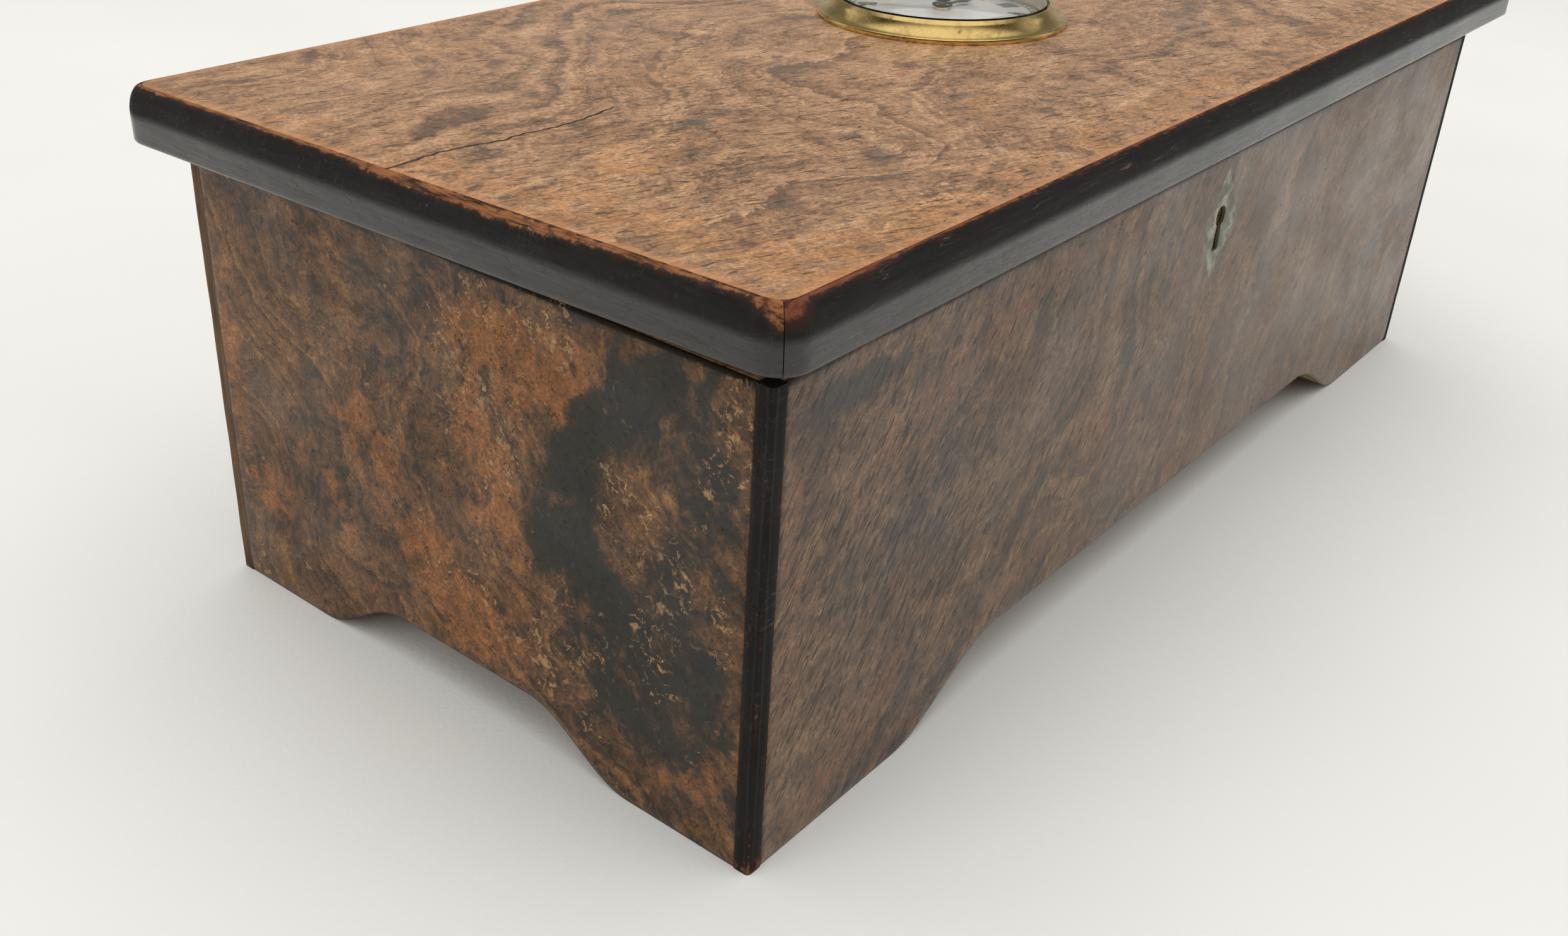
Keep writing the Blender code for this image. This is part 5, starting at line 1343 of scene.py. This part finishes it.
def rolled_band(name, half_x, half_y, low, high, thick):
    """A rolled-edge section carried round a rectangle, from one side of the lock to the other."""
    ox, oy = rounded_outline(half_x, half_y, 1.5, 460)
    keep = ~((oy < 0) & (np.abs(ox) < 22.6) & (np.abs(oy + half_y) < 0.1))
    start = int(np.argmax((~keep) & np.roll(keep, -1)))
    ox, oy, keep = (np.roll(v, -start - 1) for v in (ox, oy, keep))
    ox, oy = ox[keep], oy[keep]
    length = np.hypot(ox, oy)
    a = np.radians(np.linspace(0, 180, 9))
    section = [(0, low), (0, high - thick / 2)]
    section += [
        (
            thick / 2 - thick / 2 * np.cos(v), high - thick / 2 + thick / 2 * np.sin(v)
        ) for v in a[1:-1]
    ]
    section += [
        (thick, z) for z in np.linspace(high - thick / 2, low + 0.6, 24)
    ] + [(thick * 0.8, low)]
    inward, z = np.array(section).T
    swell = 0.12 * np.sin(z[None] * 0.35 + length[:, None] * 0.11) * (inward[None] > 0.9 * thick)
    flat_x, flat_y = half_x - 1.5, half_y - 1.5
    nx, ny = np.clip(ox, -flat_x, flat_x) - ox, np.clip(oy, -flat_y, flat_y) - oy
    size = np.maximum(np.hypot(nx, ny), 1e-6)
    depth = inward[None] - 0.12 * (inward[None] > 0.9 * thick) + swell
    x = ox[:, None] + depth * (nx / size)[:, None]
    y = oy[:, None] + depth * (ny / size)[:, None]
    points = np.stack([x, y, z[None] + 0 * x], -1).reshape(-1, 3)
    faces = list(grid_faces(len(ox), len(z), False, True)) + end_caps(points, len(z))
    make_piece(name, points, faces, "box", velvet, ("wall_lining",), smooth=60)


rolled_band("wall_velvet", 146.6, 62.6, 21.3, 92.0, 1.2)
x, y = np.meshgrid(np.linspace(-1, 1, 150), np.linspace(-1, 1, 70), indexing="ij")
edge = np.minimum((1 - np.abs(x)) * 145.1, (1 - np.abs(y)) * 61.1)
crown = 22.5 - 1.1 * np.exp(-edge / 0.7) - 0.05 * (1 + np.sin(x * 31 + np.sin(y * 9)))
top = np.stack([145.1 * x, 61.1 * y, crown], -1)
under = np.stack([145.1 * x, 61.1 * y, 0 * x + 21.3], -1)
points = np.concatenate([top.reshape(-1, 3), under.reshape(-1, 3)])
sheet = grid_faces(*x.shape)
index = np.arange(x.size).reshape(x.shape)
rim = np.concatenate([index[:-1, 0], index[-1, :-1], index[:0:-1, -1], index[0, :0:-1]])
wall = np.stack([rim, np.roll(rim, -1), np.roll(rim, -1) + x.size, rim + x.size], 1)
faces = np.concatenate([sheet, sheet[:, ::-1] + x.size, wall[:, ::-1]])
make_piece(
    "floor_velvet", points, faces, "box", velvet, ("floor_lining",), smooth=60
)

points, faces = flat_ring(rounded_outline(144.8, 60.7, 1.5, 420), CLOCK[:2], 31.4, 95.1, 94.32, 44)
make_piece("lid_velvet", points, faces, "lid", velvet, ("lid_lining",), smooth=50)

# %% [markdown]
# ## The woods under the veneer
# The walls and bottom are plain pine: pale bands of soft early wood between thin hard late lines.
# The lid board is oiled mahogany, dark red-brown with short pores. Both keep the shape of their
# solids, because flat boards need only grain.

# %% Pine and mahogany
plain_grain, g, given, result = new_group(
    "plain grain", {
        "Position": (0.0, 0.0, 0.0), "Ring": 3.0, "Waver": 1.0
    }, ("Rings", "Fibre", "Flecks")
)
long = g.vector("MULTIPLY", given["Position"], (0.02, 0.5, 0.5))
bend = g.times(g.minus(g.noise(long, 3.0, 3, 0.5), 0.5), g.times(given["Waver"], 30.0))
split = g.add("SeparateXYZ", {0: given["Position"]}).outputs
depth = g.math(
    "DIVIDE", g.plus(g.times_plus(split[1], 0.8, bend), g.times(split[2], 0.6)), given["Ring"]
)
saw = g.math("FRACT", depth)
g.plug(result["Rings"], g.times(g.rise(saw, 0.1, 0.85), g.rise(saw, 1.0, 0.92)))
g.plug(result["Fibre"], g.streaks(given["Position"], (0.08, 3, 3), 3, 0.6))
flecks = g.streaks(given["Position"], (0.3, 2.4, 2.4), 2)
g.plug(result["Flecks"], g.rise(flecks, 0.62, 0.7))


def plain_wood(name, early, late, roughness, ring, flecks_dark):
    material, g, shader = new_finish(name)
    at = g.position()
    grain = g.use(plain_grain, Position=at, Ring=ring, Waver=1.0)
    colour = g.mix(grain["Rings"], early, late)
    colour = g.darken(0.5, colour, grain["Fibre"], (0.3, 0.6), (0.7, 1.0))
    colour = g.mix(g.times(grain["Flecks"], flecks_dark), colour, dim(late, 0.3))
    grime_and_shade = g.rise(g.noise(at, 30, 4, 0.6), 0.45, 0.75)
    g.plug(shader["Base Color"], g.mix(g.times(grime_and_shade, 0.35), colour, dim(early, 0.35)))
    g.plug(shader["Roughness"], g.times_plus(grain["Fibre"], 0.15, roughness))
    relief = g.minus(g.times(grain["Fibre"], 0.4), g.times(grain["Flecks"], 0.5))
    g.plug(shader["Normal"], g.bump(g.times_plus(grain["Rings"], 0.3, relief), 0.08))
    return material


pine = plain_wood("old pine", (0.42, 0.27, 0.13), (0.24, 0.125, 0.05), 0.62, 2.6, 0.2)
mahogany = plain_wood("dark mahogany", (0.15, 0.030, 0.014), (0.085, 0.018, 0.010), 0.4, 6.0, 0.6)

# %% [markdown]
# ## Finishes on the parts that keep their solid shape
# Every remaining solid names the slot of its material, so one table finishes the hinges, the lock,
# the link plate and all of the clock's movement.

# %% Dress the carried-over solids
dress = {
    "carcase_wood": pine, "lid_wood": mahogany, "lock_brass": lock_metal,
    "clock_brass": clock_metal,
    "steel": steel_metal, "blued_steel": blued_metal, "white_metal": nickel_metal,
}
dressed = 0
for name, node in nodes.items():
    for place in node.material_slots:
        if place.material and place.material.name.split(".")[0] in dress:
            place.material = dress[place.material.name.split(".")[0]]
            dressed += 1
print("solids dressed:", dressed)

# %% [markdown]
# ## Floor, light and camera
# The floor is pale near the box, and painted shade darkens it further off. A wide soft panel
# overhead does most of the lighting, as a light tent would. Glossy black wood shows whatever is
# around it, so the room matters: pale paper stands behind the box, and the room behind the camera
# is dark. That is why the moulding's round top is nearly black while its upright face mirrors the
# floor. The soft panels stay out of reflections.

# %% Floor
floor_mesh = bpy.data.meshes.new("pale_floor")
bend = np.linspace(0, np.pi / 2, 16)
run = np.concatenate([[-3000.0], 1600 + 900 * np.sin(bend), [2500.0]])
rise = np.concatenate([[0.0], 900 - 900 * np.cos(bend), [2600.0]])
wide = np.array([-4000.0, 4000.0])[:, None]
ahead = np.array([0.82, 0.57])
points = np.stack(
    [
        wide * ahead[1] + run[None] * ahead[0], -wide * ahead[0] + run[None] * ahead[1],
        rise[None] + 0 * wide
    ],
    -1
)
floor_mesh.from_pydata(
    (points.reshape(-1, 3) / 1000).tolist(), [], grid_faces(2, len(run)).tolist()
)
floor_mesh.shade_smooth()
floor = bpy.data.objects.new("pale_floor", floor_mesh)
bpy.context.scene.collection.objects.link(floor)
paper, g, shader = new_finish("pale floor cloth", Roughness=0.85)
at = g.position()
weave = g.noise(at, 1.2, 2)
near = g.ramp(g.noise(at, 160, 2), (0.3, (0.685, 0.687, 0.665)), (0.7, (0.715, 0.717, 0.695)))
# Painted shade: the cloth's colour falls from pale to a mid grey between 0.5 m and 1.9 m from the
# box, standing in for less light on the far floor and backdrop.
away = g.rise(g.vector("LENGTH", at), 500, 1900)
g.plug(shader["Base Color"], g.mix(away, near, (0.42, 0.42, 0.408)))
g.plug(shader["Normal"], g.bump(weave, 0.12, 0.6))
floor_mesh.materials.append(paper)

# %% [markdown]
# ## Light
# The world behind everything is brighter on the backdrop's side. Three soft panels light the box.

# %% Light
world = bpy.data.worlds.new("pale room")
bpy.context.scene.world = world
world.use_nodes = True
world.node_tree.nodes.clear()
g = Graph(world.node_tree)
way = g.add("TexCoord").outputs["Generated"]
height = g.add("SeparateXYZ", {0: way}).outputs[2]
far_side = g.rise(g.vector("DOT_PRODUCT", way, (0.82, 0.57, 0.0)), -0.25, 0.45)
backdrop = g.ramp(
    height, (0.0, (0.80, 0.80, 0.78)), (0.5, (0.62, 0.62, 0.61)), (0.72, (0.2, 0.2, 0.2)),
    (0.88, (1.0, 0.98, 0.94))
)
room = g.ramp(
    height, (0.0, (0.55, 0.55, 0.54)), (0.07, (0.16, 0.16, 0.16)), (0.3, (0.035, 0.034, 0.034)),
    (0.72, (0.05, 0.05, 0.05)), (0.88, (1.0, 0.98, 0.94))
)
shine = g.add("Background", {"Color": g.mix(far_side, room, backdrop), "Strength": 0.9})
g.plug(g.add("OutputWorld").inputs["Surface"], shine.outputs[0])


def soft_panel(name, place, size, watts, colour):
    """An area light that looks at the box and stays out of reflections."""
    light = bpy.data.lights.new(name, "AREA")
    light.shape, light.size, light.size_y = "RECTANGLE", *size
    light.energy, light.color = watts, colour
    panel = bpy.data.objects.new(name, light)
    panel.location = place
    panel.rotation_euler = (
        Vector((0, 0, 0.05)) - Vector(place)
    ).to_track_quat("-Z", "Y").to_euler()
    panel.visible_glossy = False
    bpy.context.scene.collection.objects.link(panel)


soft_panel("overhead_panel", (0.2, 0.2, 1.6), (4.2, 3.6), 53, (1.0, 0.99, 0.965))
soft_panel("left_panel", (-1.9, 0.2, 0.9), (2.0, 1.4), 17, (1.0, 0.99, 0.98))
soft_panel("front_panel", (0.5, -1.9, 0.9), (2.0, 1.4), 14, (1.0, 0.99, 0.98))

# %% [markdown]
# ## Camera
# The camera stands close to the front left corner and looks down at it, a little rolled, as a
# hand-held camera often is.

# %% Camera
stand = Vector((-0.31796004, -0.19638782, 0.19655621))
target = Vector((-0.03936923, 0.01267083, 0.0))
roll = 0.0589871
ahead = (target - stand).normalized()
right = ahead.cross(Vector((0, 0, 1))).normalized()
upward = right.cross(ahead)
cos, sin = float(np.cos(roll)), float(np.sin(roll))
rolled_right, rolled_up = cos * right + sin * upward, cos * upward - sin * right
lens = bpy.data.cameras.new("camera")
lens.sensor_fit, lens.sensor_width, lens.lens = "HORIZONTAL", 36, 35.98117
lens.clip_start, lens.clip_end = 0.01, 50
lens.dof.use_dof = False
camera = bpy.data.objects.new("camera", lens)
camera.matrix_world = Matrix.Translation(stand) @ Matrix(
    (rolled_right, rolled_up, -ahead)
).transposed().to_4x4()
bpy.context.scene.collection.objects.link(camera)
bpy.context.scene.camera = camera
bpy.context.scene.view_settings.view_transform = "Standard"
